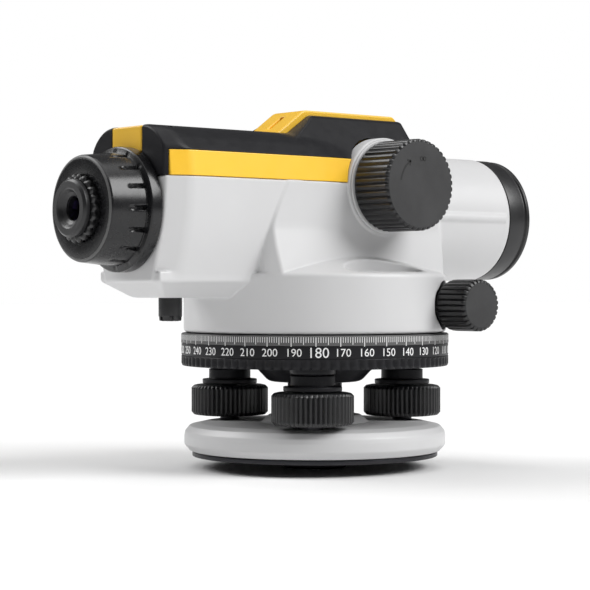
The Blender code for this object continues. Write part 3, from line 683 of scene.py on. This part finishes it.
def circle_ring():
    step = 0.15
    top, foot = CIRCLE_HIGH, CIRCLE_LOW
    rib_top = foot + RIB_BAND
    ribs = flutes(90, 0.7, foot + 0.2, rib_top - 0.1, least=CIRCLE_R - 1.5, fade=0.5, power=1.5)
    profile = [(11.3, top - 0.3), (CIRCLE_R - 2.0, top - 0.3), (CIRCLE_R - 0.4, top - 0.3),
               (CIRCLE_R - 0.4, top - TICK_BAND), (CIRCLE_R - step, top - TICK_BAND - step),
               (CIRCLE_R - step, rib_top + 0.3), (CIRCLE_R - 0.45, rib_top + 0.15),
               (CIRCLE_R - 0.1, rib_top - 0.2),
               *[(CIRCLE_R - 0.1, h) for h in dense(rib_top - 0.7, foot + 0.9, 0.8)],
               (CIRCLE_R - 0.5, foot), (50.6, foot), (50.6, 47.0), (15.0, 47.0), (15.0, 43.3),
               (11.3, 43.3)]
    ring = turned("graduated_ring", profile, (0, 0, 0), "Z", 720, 0.12, True, ribs)
    place(ring, "circle", BLACK, ["horizontal_circle"])
    band = [(CIRCLE_R - 4.0, top), (CIRCLE_R - 0.5, top), (CIRCLE_R, top - 0.5),
            (CIRCLE_R, top - TICK_BAND), (CIRCLE_R - 0.6, top - TICK_BAND),
            (CIRCLE_R - 0.6, top - 0.2), (CIRCLE_R - 4.0, top - 0.2)]
    place(turned("tick_band", band, (0, 0, 0), "Z", 360, 0.12, True), "circle",
          BAND)


def on_ring(radius, angle, height):
    """A world place from a place round the standing axis."""
    return Vector((radius * math.cos(angle), radius * math.sin(angle), height + LIFT)) * MM


def circle_ticks():
    """Printed ticks: one each degree, longer at 5 and at 10 degrees."""
    bm = bmesh.new()
    outer, inner = CIRCLE_R + 0.03, CIRCLE_R - 0.1
    top = CIRCLE_HIGH - 0.55
    for degree in range(360):
        length, width = next(size for step, size in TICKS.items() if degree % step == 0)
        middle = math.radians(degree)
        half = width / 2 / CIRCLE_R
        block = [bm.verts.new(on_ring(r, middle + s * half, h)) for r in (inner, outer)
                 for s, h in ((-1, top - length), (1, top - length), (1, top), (-1, top))]
        for loop in BLOCK_FACES:
            bm.faces.new([block[n] for n in loop])
    bmesh.ops.recalc_face_normals(bm, faces=bm.faces)
    place(finished(bm, "degree_ticks"), "circle", PRINT)


def circle_numerals():
    """Numbers each ten degrees, which rise clockwise seen from above."""
    bm = bmesh.new()
    middle = (CIRCLE_HIGH - TICK_BAND + CIRCLE_LOW + RIB_BAND) / 2
    for value in range(0, 360, 10):
        size = 5.6 if value in (0, 180) else 4.3
        curve = bpy.data.curves.new("numeral", "FONT")
        curve.body = str(value)
        curve.size = size
        curve.align_x = "CENTER"
        curve.resolution_u = 3
        curve.extrude = 0.06
        holder = bpy.data.objects.new("numeral", curve)
        link(holder)
        graph = bpy.context.evaluated_depsgraph_get()
        mesh = bpy.data.meshes.new_from_object(holder.evaluated_get(graph))
        heights = [v.co.y for v in mesh.vertices]
        centre = (min(heights) + max(heights)) / 2
        angle = math.radians(ZERO_ANGLE - value)
        for vertex in mesh.vertices:
            radius = CIRCLE_R - 0.15 + vertex.co.z
            turn = angle + vertex.co.x / CIRCLE_R
            vertex.co = on_ring(radius, turn, middle + vertex.co.y - centre)
        bm.from_mesh(mesh)
        bpy.data.objects.remove(holder)
        bpy.data.curves.remove(curve)
        bpy.data.meshes.remove(mesh)
    bmesh.ops.remove_doubles(bm, verts=bm.verts, dist=1e-7)
    place(finished(bm, "circle_numerals"), "circle", PRINT)


# ---- housing ----
def body_field(x, y, z):
    """Front of the casting: round nose, upper side, and a skirt panel that leans out below."""
    side = np.abs(y)
    radius = np.hypot(x, y)
    front = meet(4.0, radius - 52.5, wall(radius, z, WAIST_Z, 52.5, BAND_LOW, 46.6))
    swell = 1.8 * ramp(-x, 0.0, 20.0)
    rise = (z - WAIST_Z) / (BAND_LOW - WAIST_Z)
    upper = side - 27.3 - rise * (swell - 0.7)
    panel = wall(side, z, SKIRT_LOW, 31.4, WAIST_Z, 27.3)
    sides = merge(0.5, panel, upper)
    return meet(0.9, front, sides, -46.0 - x, SKIRT_LOW - z, z - BAND_LOW)


def chamfer(across, x):
    """Upright chamfer at the tail's end: across is the distance outside the flank."""
    return across * 0.92 + (CHAMFER_X - x) * 0.38


def tail_field(x, y, z):
    """Tail of the casting, which narrows towards the eyepiece and below."""
    side = np.abs(y)
    low_wall = wall(side, z, SKIRT_LOW, 19.8, WAIST_Z, 26.6)
    high_wall = wall(side, z, WAIST_Z, 26.6, BAND_LOW, 28.0)
    sides = meet(3.0, low_wall, high_wall)
    return meet(1.0, sides, chamfer(sides + 0.6, x), REAR_X - x, 70.5 - z, z - BAND_LOW, x + 30.0)


def underside_field(x, y, z):
    """Chamfered box under the tail, which holds the check button."""
    side = np.abs(y)
    flank = wall(side, z, 64.5, 10.5, 70.5, 19.2)
    end = wall(-x, z, 64.5, 83.0, 70.5, 91.2)
    return meet(0.9, flank, end, side - 19.4, -91.4 - x, 64.5 - z, z - 74.5, x + 36.0)


def drum_field(x, y, z):
    """Round lower part over the circle, with a shoulder that rises inwards."""
    radius = np.hypot(x, y)
    shoulder = (z - 74.0 - (51.6 - radius) * 0.284) * 0.962
    return meet(1.6, radius - DRUM_R, shoulder, DRUM_LOW - z)


def pocket_field(x, y, z):
    """Upright elliptical hollow in the shoulder, one on each side."""
    across = np.hypot(x / 19.0, (np.abs(y) - 42.0) / 10.0)
    return meet(0.6, (across - 1) * 10.0, 74.4 - z)


def housing_field(x, y, z):
    """The whole light casting: outside first, then what is cut out of it."""
    side = np.abs(y)
    sight = rod(y, z, (0, SIGHT_Z), 0)
    drum = carve(0.8, drum_field(x, y, z), pocket_field(x, y, z))
    solid = merge(0.7, drum, body_field(x, y, z), tail_field(x, y, z))
    solid = merge(0.8, solid, underside_field(x, y, z))
    tube = meet(1.2, sight - TUBE_R, x - TUBE_END, 20.0 - x)
    solid = merge(2.2, solid, tube)
    solid = merge(0.6, solid, meet(0.5, sight - 22.4, x - 95.0, 80.0 - x))
    rib = meet(1.0, rod(side, z, (25.2, SIGHT_Z), 2.1), x - 84.0, 40.0 - x)
    solid = merge(0.7, solid, rib)
    solid = merge(0.8, solid, meet(0.6, sight - 20.0, -95.5 - x, x + 86.0))
    focus = rod(x, z, (FOCUS_X, FOCUS_Z), 0)
    solid = merge(1.0, solid, meet(0.6, focus - BOSS_R, y + 20.0, -27.6 - y))
    drive = rod(x, z, (DRIVE_X, DRIVE_Z), 0)
    chamber = meet(1.0, side - 21.7, -84.0 - x, x - 34.5, 83.0 - z)
    telescope_bore = meet(0.5, sight - 20.2, -4.0 - x)
    eyepiece_bore = meet(0.5, sight - 15.2, x + 80.0)
    drum_room = meet(0.5, np.hypot(x, y) - 49.5, z - 70.0)
    axis_bore = meet(0.5, np.hypot(x, y) - 15.3, z - 76.0)
    drive_recess = meet(0.5, drive - 11.0, 47.3 - side)
    focus_bore = meet(0.5, focus - 8.3, y + 10.0)
    button_bore = meet(0.4, rod(x, y, (BUTTON_X, 0), 4.9), z - 77.0)
    bubble_seat = meet(0.4, rod(x, y, BUBBLE, 9.3), 71.8 - z, z - 90.0)
    return carve(0.5, solid, telescope_bore, chamber, eyepiece_bore, drum_room, axis_bore,
                 drive - 9.6, drive_recess, focus_bore, button_bore, bubble_seat)


def housing():
    casting = moulded("housing_casting", housing_field, (-97, -56, 49), (97, 56, 131), 0.62, 0.3)
    place(casting, "head", PAINT, ["main_housing"])


# ---- band, covers and strip ----
BLOCK_REAR = -36.0
COVER_INSET = 0.17


def tube_room(x, y, z):
    """Room for the telescope tube under the front of the covers."""
    return meet(0.3, rod(y, z, (0, SIGHT_Z), TUBE_R + GAP), -10.0 - x)


def side_facet(x, side, z):
    """Slanted step in the flank, where it grows wider behind."""
    return facet(x, side, z, (7.0, 26.0, 110.0), (0.26, 0.955, 0.10))


def shoulder_facet(x, side, z):
    """The same step in the slope above the flank."""
    return facet(x, side, z, (2.0, 25.5, 119.5), (0.16, 0.68, 0.714))


def band_top(x, y):
    """Height of the joint between band and cover: it rises on the raised block."""
    raised = ramp(-x, -2.0, 17.0) * (x > BLOCK_REAR) * (y > 0)
    return BAND_HIGH + 1.9 * raised


def end_corner(sides, x):
    """Chamfer and end of the tail, as on the casting below."""
    return meet(1.0, chamfer(sides + 0.6, x), REAR_X - x)


def band_outer(x, y, z):
    side = np.abs(y)
    front = wall(side, z, BAND_LOW, 26.6, BAND_HIGH, 25.8)
    back = wall(side, z, BAND_LOW, 28.0, BAND_HIGH, 27.0)
    block = meet(0.5, wall(side, z, BAND_LOW, 29.7, BAND_HIGH, 29.3), BLOCK_REAR - x)
    left = meet(0.5, merge(0.3, back, block), side_facet(x, side, z))
    right = meet(6.0, back, side_facet(x, side, z))
    rear = np.where(y > 0, left, right)
    flank = merge(0.4, front, rear)
    return meet(0.8, flank, end_corner(back, x))


def band_field(sign):
    """Yellow band on one flank; sign is the side in Y."""
    def field(x, y, z):
        outer = band_outer(x, y, z)
        ring = meet(0.4, outer, -2.6 - outer)
        front = 36.7 if sign > 0 else FOCUS_X
        piece = meet(0.3, ring, BAND_LOW + SEAM - z, z - band_top(x, y), x - front, -90.2 - x,
                     14.0 - sign * y)
        if sign < 0:
            piece = carve(0.2, piece, rod(x, z, (FOCUS_X, FOCUS_Z), BOSS_R + SEAM))
        return carve(0.4, piece, tube_room(x, y, z))
    return field


def cover_outer(x, y, z):
    """Outside of the two black covers, without the strip between them."""
    side = np.abs(y)
    back_flank = wall(side, z, BAND_HIGH, 27.1, 127.6, 20.5)
    back_top = wall(z, side, 20.5, 127.8, STRIP_HALF, 129.3)
    back = meet(4.0, back_flank, back_top)
    block = meet(0.6, side - 29.2, back_flank - 2.0, z - 131.0, BLOCK_REAR - x)
    left = meet(0.5, merge(0.3, back, block), side_facet(x, side, z), shoulder_facet(x, side, z))
    right = meet(3.0, back, side_facet(x, side, z), shoulder_facet(x, side, z))
    rear = np.where(y > 0, left, right)
    hump_flank = wall(side, z, BAND_HIGH, 25.8, 136.2, 14.0)
    hump_top = wall(z, side, 14.0, 136.2, STRIP_HALF, 137.0)
    hump_rear = (z - 137.0 - (x + 12.0) * 0.7) * 0.82
    hump = meet(0.8, hump_flank, hump_top, hump_rear, -60.0 - x)
    whole = merge(0.5, rear, hump)
    low_flank = np.where(x > 20, wall(side, z, BAND_LOW, 26.6, BAND_HIGH, 25.8), -9.0)
    cheek = facet(x, side, z, (34.2, 14.0, 136.8), (0.721, 0.537, 0.436))
    whole = meet(0.7, whole, cheek) + COVER_INSET
    return meet(0.7, whole, low_flank, tail_end(x, side, z))


def tail_end(x, side, z):
    """End of the covers at the eyepiece: round shoulders that grow forward, and a flat end."""
    reach = np.hypot(np.maximum(side - 9.0, 0), np.maximum(z - 112.8, 0))
    shoulder = (reach - 15.9 - (x - REAR_X) * 0.35) * 0.94
    return meet(0.8, chamfer(side - 26.6, x), REAR_X - 0.4 - x, shoulder)


def cover_field(sign):
    """Black cover on one side; its skirt reaches down in front of and behind the band."""
    def field(x, y, z):
        outer = cover_outer(x, y, z)
        skin = meet(0.5, outer, -2.2 - outer)
        skirt = np.where((x > (37.0 if sign > 0 else 30.0)) | (x < -90.4),
                         BAND_LOW + SEAM - z, band_top(x, y) + SEAM - z)
        piece = meet(0.3, skin, skirt, STRIP_HALF + GAP - sign * y)
        if sign < 0:
            piece = carve(0.2, piece, rod(x, z, (FOCUS_X, FOCUS_Z), BOSS_R + SEAM))
        piece = carve(0.4, piece, tube_room(x, y, z))
        eye = meet(0.3, rod(y, z, (0, SIGHT_Z), 20.3), x + 80.0)
        hole = rod(x, y, (COVER_SCREW[0], sign * COVER_SCREW[1]), 2.2) + 0 * z
        return carve(0.3, piece, eye, hole)
    return field


def strip_field(x, y, z):
    """Yellow strip along the top, with a sight hole, a slit behind it and a nose dimple."""
    side = np.abs(y)
    nose = (x - 35.0 + (z - 138.1)) * 0.707
    hump_rear = (z - 138.5 - (x + 14.0) * 0.72) * 0.81
    hump = meet(1.0, z - 138.7, nose, hump_rear, -60.0 - x)
    low_back = meet(0.8, z - 128.9 - (x + 27.0) * 0.005, x - 20.0)
    low_back = meet(0.8, low_back, REAR_X - 0.6 - x)
    whole = merge(0.6, hump, low_back)
    under = np.where(x > -87, 125.0 - z, 118.6 - z)
    under = np.where(x > 33, 121.5 - z, under)
    piece = meet(0.7, whole, side - STRIP_HALF, under)
    bore = meet(0.6, rod(y, z, (0, 133.7), 2.5), 4.0 - x)
    slit = meet(0.4, side - 1.1, 131.2 - z, z - 136.2, x - 10.0)
    dimple = meet(0.3, rod(y, z, (0, 126.3), 1.2), 41.0 - x)
    return carve(0.5, piece, tube_room(x, y, z), bore, slit, dimple)


def covers():
    for name, sign in (("left", 1), ("right", -1)):
        near, far = sorted((sign * 9.0, sign * 31.0))
        band = moulded(f"flank_band_{name}", band_field(sign), (-94, near, 108), (48, far, 123),
                       0.4, 0.5)
        place(band, "head", YELLOW, [f"side_band_{name}"])
        cover = moulded(f"top_cover_{name}", cover_field(sign), (-95, near, 108), (52, far, 139),
                        0.45, 0.5)
        place(cover, "head", BLACK, [f"cover_shell_{name}"])
    strip = moulded("spine_strip", strip_field, (-95, -11, 117), (52, 11, 141), 0.45, 0.5)
    place(strip, "head", YELLOW, ["centre_strip"])


def cover_screws():
    top, foot = 126.2, 121.0
    profile = [(0, top - 0.5), (0.7, top - 0.5), (0.7, top), (1.6, top), (1.9, top - 0.4),
               (1.9, foot), (0, foot)]
    for name, sign in (("left", 1), ("right", -1)):
        at = (COVER_SCREW[0], sign * COVER_SCREW[1], 0)
        place(turned(f"cover_screw_head_{name}", profile, at, "Z", 48, 0.15), "head",
              DARK_STEEL, [f"cover_screw_{name}"])


# ---- telescope ----
def objective():
    sight = (0, 0, SIGHT_Z)
    front = corners("objective_hood")[1].x
    hood = [(18.2, front - 0.5), (18.6, front - 0.12), (25.0, front - 0.12), (25.7, front - 0.8),
            (25.7, front - 2.2), (25.0, front - 2.8), (25.0, front - 3.6), (25.9, front - 4.4),
            (25.9, TUBE_END + GAP), (22.8, TUBE_END + GAP), (22.8, 93.8), (18.2, 93.8)]
    place(turned("hood_barrel", hood, sight, "X", 256, 0.3, True), "head",
          ANODISED, ["objective_hood"])
    for number, (inner, outer) in enumerate(((18.9, 20.5), (20.8, 22.6), (22.9, 24.8)), start=1):
        face = [(inner, front), (outer, front), (outer, front - 0.2), (inner, front - 0.2)]
        place(turned(f"hood_face_{number}", face, sight, "X", 256, 0.08, True), "head",
              RIM)
    low, high = corners("lens_retaining_ring")[0].x, corners("lens_retaining_ring")[1].x
    inner = 16.4
    holder = [(inner + 1.0, high), (19.9, high), (19.9, low), (inner, low), (inner, high - 1.2)]
    place(turned("lens_ring", holder, sight, "X", 192, 0.15, True), "head",
          ANODISED, ["lens_retaining_ring"])
    apex = corners("objective_lens")[1].x
    bulge = [(r, apex - r * r / 137.0) for r in dense(0, 19.6, 1.6)]
    lens = [*bulge, (19.6, apex - 5.8), (12.0, apex - 6.6), (0, apex - 7.0)]
    place(turned("front_lens", lens, sight, "X", 160, 0.1), "head", LENS,
          ["objective_lens"])


def focus_controls():
    at = (FOCUS_X, 0, FOCUS_Z)
    low, high = corners("focus_knob")
    inner, outer = -high.y, -low.y
    ribs = flutes(42, 0.75, inner + 0.3, outer + 5.0, least=16.9, fade=0.8, power=3.0)
    knob = [(0, outer), (17.0, outer), (17.7, outer - 0.35), (18.0, outer - 1.1),
            *[(18.0, h) for h in dense(outer - 3.0, inner + 3.0, 2.6)], (18.0, inner + 1.0),
            (17.3, inner), (2.3, inner), (2.3, outer - 4.7), (0, outer - 4.7)]
    place(turned("focusing_knob", knob, at, "-Y", 504, 0.25, ripple=ribs), "focus_control",
          KNOB, ["focus_knob"])
    plate = [(0, outer + 0.05), (16.7, outer + 0.05), (16.9, outer - 0.15), (0, outer - 0.15)]
    place(turned("focusing_knob_face", plate, at, "-Y", 192, 0.05), "focus_control",
          FACE)
    collar = [(2.4, 28.4), (18.3, 28.4), (18.6, 28.1), (18.6, 27.9), (2.4, 27.9)]
    place(turned("knob_collar", collar, at, "-Y", 192, 0.1, True), "head", PAINT,
          ["focus_collar"])
    direction_arrow(at, outer + 0.05)


def direction_arrow(at, face):
    """Curved arrow and a small ring on the knob's face, which show the way to far focus."""
    bm = bmesh.new()
    radius, width = 10.5, 0.75

    def stroke(points, half, closed=False):
        rows = []
        count = len(points)
        for i, (u, w) in enumerate(points):
            before = points[i - 1] if closed or i else points[0]
            after = points[(i + 1) % count] if closed or i < count - 1 else points[-1]
            along = Vector((after[0] - before[0], after[1] - before[1])).normalized()
            across = Vector((-along.y, along.x)) * half
            rows.append([(u + s * across.x, w + s * across.y) for s in (-1, 1)])
        verts = [[bm.verts.new((at[0] + u, -face - 0.04, at[2] + w)) for u, w in row]
                 for row in rows]
        pairs = list(zip(verts, verts[1:]))
        if closed:
            pairs.append((verts[-1], verts[0]))
        for first, second in pairs:
            bm.faces.new((first[0], first[1], second[1], second[0]))

    sweep = [math.radians(a) for a in range(172, 117, -4)]
    stroke([(radius * math.cos(a), radius * math.sin(a)) for a in sweep], width / 2)
    tip = Vector((radius * math.cos(sweep[-1]), radius * math.sin(sweep[-1])))
    for lean in (2.6, -2.4):
        back = sweep[-1] + 0.14
        point = Vector((math.cos(back), math.sin(back))) * (radius + lean * 0.5)
        stroke([tuple(tip), tuple(point)], width / 2)
    for shift in (-0.75, 0.75):
        ring = [(1.3 + shift + 0.75 * math.cos(TAU * i / 20), 10.2 + 0.75 * math.sin(TAU * i / 20))
                for i in range(20)]
        stroke(ring, width / 3, closed=True)
    solid = bmesh.ops.extrude_face_region(bm, geom=bm.faces[:])
    moved = [v for v in solid["geom"] if isinstance(v, bmesh.types.BMVert)]
    bmesh.ops.translate(bm, vec=(0, 0.12, 0), verts=moved)
    bmesh.ops.recalc_face_normals(bm, faces=bm.faces)
    to_world(bm)
    place(finished(bm, "focus_arrow"), "focus_control", MARK)


def tangent_drive():
    at = (DRIVE_X, 0, DRIVE_Z)
    inner, outer = 47.6, 63.6
    ribs = flutes(28, 0.9, inner + 0.6, outer + 3.0, least=8.9, fade=1.4, power=5)
    knob = [(0, outer - 0.1), (8.8, outer - 0.1), (9.7, outer - 0.4), (10.2, outer - 1.2),
            *[(10.2, h) for h in dense(outer - 3.0, inner + 3.4, 2.2)], (10.1, inner + 1.6),
            (9.3, inner), (2.1, inner), (2.1, outer - 5.7), (0, outer - 5.7)]
    plate = [(0, outer), (8.5, outer), (8.7, outer - 0.2), (0, outer - 0.2)]
    sleeve = [(2.2, inner - GAP), (7.9, inner - GAP), (8.6, inner - 1.0), (8.9, 44.0),
              (9.3, 37.0), (9.3, 31.0), (2.2, 31.0)]
    for name, axis in (("left", "Y"), ("right", "-Y")):
        place(turned(f"tangent_knob_{name}", knob, at, axis, 416, 0.3, ripple=ribs), "drive",
              KNOB, [f"drive_knob_{name}"])
        place(turned(f"tangent_knob_face_{name}", plate, at, axis, 128, 0.05), "drive",
              FACE)
        place(turned(f"tangent_sleeve_{name}", sleeve, at, axis, 128, 0.8, True), "head",
              KNOB, [f"drive_sleeve_{name}"])


def eyepiece():
    sight = (0, 0, SIGHT_Z)

    def notches(angles, radius, along):
        """Sixteen scooped slots that deepen towards the flange."""
        if radius < 19.0 or not 97.7 <= along <= 105.5:
            return 0.0
        depth = 1.5 * min((105.5 - along) / 5.0, 1.0)
        return -depth * np.clip(np.cos(16 * angles) * 3.2 - 2.2, 0, 1)

    barrel = [(21.2 - 1.4 * (h - 98.2) / 14.2, h) for h in dense(112.0, 98.4, 0.8)]
    cover = [(12.4, 113.0), (18.9, 113.0), (19.6, 112.6), *barrel, (21.1, 97.9), (22.9, 97.5),
             (23.4, 97.1), (23.4, 92.8), (20.3, 92.8), (20.3, 96.0), (16.0, 99.0), (16.0, 108.0),
             (12.4, 108.0)]
    place(turned("eyepiece_cover", cover, sight, "-X", 384, 0.3, True, notches), "head",
          GLOSS, ["reticle_cover"])
    face = [(13.3, 113.06), (18.3, 113.06), (18.5, 112.8), (13.3, 112.8)]
    place(turned("eyepiece_cover_face", face, sight, "-X", 192, 0.05, True), "head",
          GLOSS)
    # Lighter grey ring on the cover's front chamfer: a painted highlight along the edge.
    highlight_bevel = [(18.5, 113.04), (18.9, 113.04), (19.55, 112.66), (19.3, 112.5), (18.5, 112.7)]
    place(turned("eyepiece_cover_highlight_edge", highlight_bevel, sight, "-X", 192, 0.05, True), "head",
          BAND)
    rim = corners("diopter_ring")[1].y
    scallops = flutes(22, 1.0, 113.0, 116.2, least=rim - 1.6, fade=0.4, power=1.4)
    dioptre = [(4.6, 115.6), (rim - 1.0, 115.6), (rim - 0.3, 115.3), (rim, 114.9), (rim, 114.2),
               (rim - 0.2, 113.5), (rim - 0.5, 113.3), (12.0, 113.3), (12.0, 108.6),
               (10.5, 108.6), (10.5, 113.2), (4.6, 113.3)]
    place(turned("dioptre_ring", dioptre, sight, "-X", 352, 0.12, True, scallops), "diopter",
          KNOB, ["diopter_ring"])
    edge = corners("eyecup")[1].y
    cup = [(6.0, 117.0), (7.0, 118.2), (7.6, 118.5), (edge - 0.9, 118.5), (edge, 117.7),
           (edge, 116.1), (edge - 0.2, 115.9), (4.6, 115.9), (4.6, 116.2)]
    place(turned("eye_cup", cup, sight, "-X", 160, 0.25, True), "diopter", KNOB,
          ["eyecup"])
    pad = [(7.7, 118.55), (edge - 1.0, 118.55), (edge - 1.0, 118.35), (7.7, 118.35)]
    place(turned("eye_cup_face", pad, sight, "-X", 160, 0.04, True), "diopter", FACE)
    apex = -corners("eye_lens")[0].x
    bulge = [(r, apex - r * r / 60.0) for r in dense(0, 8.3, 0.9)]
    lens = [*bulge, (8.3, apex - 5.2), (0, apex - 5.4)]
    place(turned("eye_lens_glass", lens, sight, "-X", 96, 0.1), "ocular",
          EYE_LENS, ["eye_lens"])


# ---- bubble and button ----
def bubble():
    at = (*BUBBLE, 0)
    cup = [(0, 73.0), (7.4, 73.0), (7.4, 75.0), (7.7, 75.2), (8.8, 75.2), (9.0, 75.0),
           (9.0, 72.1), (0, 72.1)]
    place(turned("bubble_cup", cup, at, "Z", 128, 0.1), "head", ANODISED,
          ["bubble_housing"])
    glass = [(0, 74.95), (3.0, 74.85), (5.5, 74.5), (7.2, 74.0), (7.2, 73.2), (0, 73.2)]
    place(turned("bubble_glass", glass, at, "Z", 96, 0.4), "head", VIAL,
          ["bubble_vial"])


def check_button():
    def castle(angles, radius, along):
        """Six slots in the button's lower edge."""
        if radius > 3.0 and along < 57.2:
            return np.where(np.cos(6 * angles) > 0.55, -0.9, 0.0)
        return 0.0

    profile = [(0, 67.5), (2.6, 67.5), (2.6, 66.0), (4.5, 66.0), (4.5, 57.6), (4.3, 57.1),
               (4.2, 55.8), (3.0, 55.6), (0, 55.9)]
    place(turned("plumb_button", profile, (BUTTON_X, 0, 0), "Z", 144, 0.15, ripple=castle),
          "check_button", KNOB, ["check_button"])


def return_spring():
    """Coil spring above the button, made at its rest length; nothing here shortens it when the button is pressed.
    """
    turns, steps, wire, sides = 6, 24, 0.45, 8
    low, high, radius = 67.0, 75.9, 3.55
    count = turns * steps + 1
    bm = bmesh.new()
    rings = []
    for i in range(count):
        angle = TAU * i / steps
        height = low + (high - low) * i / (count - 1)
        out = Vector((math.cos(angle), math.sin(angle), 0))
        middle = Vector((BUTTON_X, 0, height + LIFT)) + out * radius
        rings.append([bm.verts.new((middle + out * wire * math.cos(TAU * s / sides)
                                    + Vector((0, 0, wire * math.sin(TAU * s / sides)))) * MM)
                      for s in range(sides)])
    for first, second in zip(rings, rings[1:]):
        for s in range(sides):
            t = (s + 1) % sides
            bm.faces.new((first[s], first[t], second[t], second[s]))
    for cap in (rings[0], rings[-1]):
        bm.faces.new(cap)
    bmesh.ops.recalc_face_normals(bm, faces=bm.faces)
    coil = finished(bm, "return_spring")
    coil.data.shade_smooth()
    place(coil, "head", STEEL, ["button_spring"])
    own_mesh(coil)


# ---- studio ----
VIEW_AZIMUTH = -40.48
OTHER_AZIMUTH = 136.33
FILL = 0.12
BACKDROP = 1.0


def floor():
    bpy.ops.mesh.primitive_plane_add(size=12.0, location=(0, 0, 0))
    ground = bpy.context.active_object
    ground.name = "studio_floor"
    pale = (0.88, 0.88, 0.88)
    made = shader("studio_floor", pale, 0.7)
    tint(made, 3, *shades(pale, 0.006))
    ground.data.materials.append(made)


def from_camera(azimuth, across, towards, height):
    """A place given by how it looks from the camera's side of the object, in metres."""
    a = math.radians(azimuth)
    back = Vector((math.sin(a), -math.cos(a), 0))
    right = Vector((math.cos(a), math.sin(a), 0))
    return right * across + back * towards + Vector((0, 0, height))


def soft_sun(name, source, spread_angle, power):
    """Even light from the direction of source, as soft as a panel of that angle."""
    light = bpy.data.lights.new(name, "SUN")
    light.energy = power
    light.angle = math.radians(spread_angle)
    lamp = bpy.data.objects.new(name, light)
    lamp.location = source
    lamp.rotation_euler = (-Vector(source)).to_track_quat("-Z", "Y").to_euler()
    link(lamp)


def studio():
    """White surroundings that fill softly, and a light to the right of either main view."""
    scene = bpy.context.scene
    scene.view_settings.view_transform = "Standard"
    world = bpy.data.worlds.new("studio")
    world.use_nodes = True
    tree = world.node_tree
    background = tree.nodes["Background"]
    background.inputs["Color"].default_value = (1, 1, 1, 1)
    path = tree.nodes.new("ShaderNodeLightPath")
    strength = mapped(tree, path.outputs["Is Camera Ray"], (0, 1), (FILL, BACKDROP))
    tree.links.new(strength, background.inputs["Strength"])
    scene.world = world
    soft_sun("top", (0, 0, 2), 60, 1.1)
    for name, azimuth, power in (("key", VIEW_AZIMUTH, 2.55), ("rim", OTHER_AZIMUTH, 1.65)):
        soft_sun(name, from_camera(azimuth, 1.6, 0.5, 1.35), 36, power)


def camera():
    """The direction, height and distance of the photograph's view of this side."""
    distance, height, lens = 0.7827, 0.0726, 118.0
    view = bpy.data.cameras.new("camera")
    view.sensor_width = 36.0
    view.lens = lens
    view.clip_start, view.clip_end = 0.05, 20
    holder = bpy.data.objects.new("camera", view)
    low, high = cad_bounds
    centre = (low + high) / 2
    holder.location = from_camera(VIEW_AZIMUTH, 0, distance, height)
    aim = from_camera(VIEW_AZIMUTH, -0.008, 0, centre.z - 0.002) - holder.location
    holder.rotation_euler = aim.to_track_quat("-Z", "Y").to_euler()
    link(holder)
    bpy.context.scene.camera = holder


def make():
    camera()
    dress_cad_nodes()
    base_plate()
    tripod_bush()
    foot_screws()
    tribrach()
    circle_ring()
    circle_ticks()
    circle_numerals()
    housing()
    covers()
    cover_screws()
    objective()
    focus_controls()
    tangent_drive()
    eyepiece()
    bubble()
    check_button()
    return_spring()
    floor()
    studio()


make()
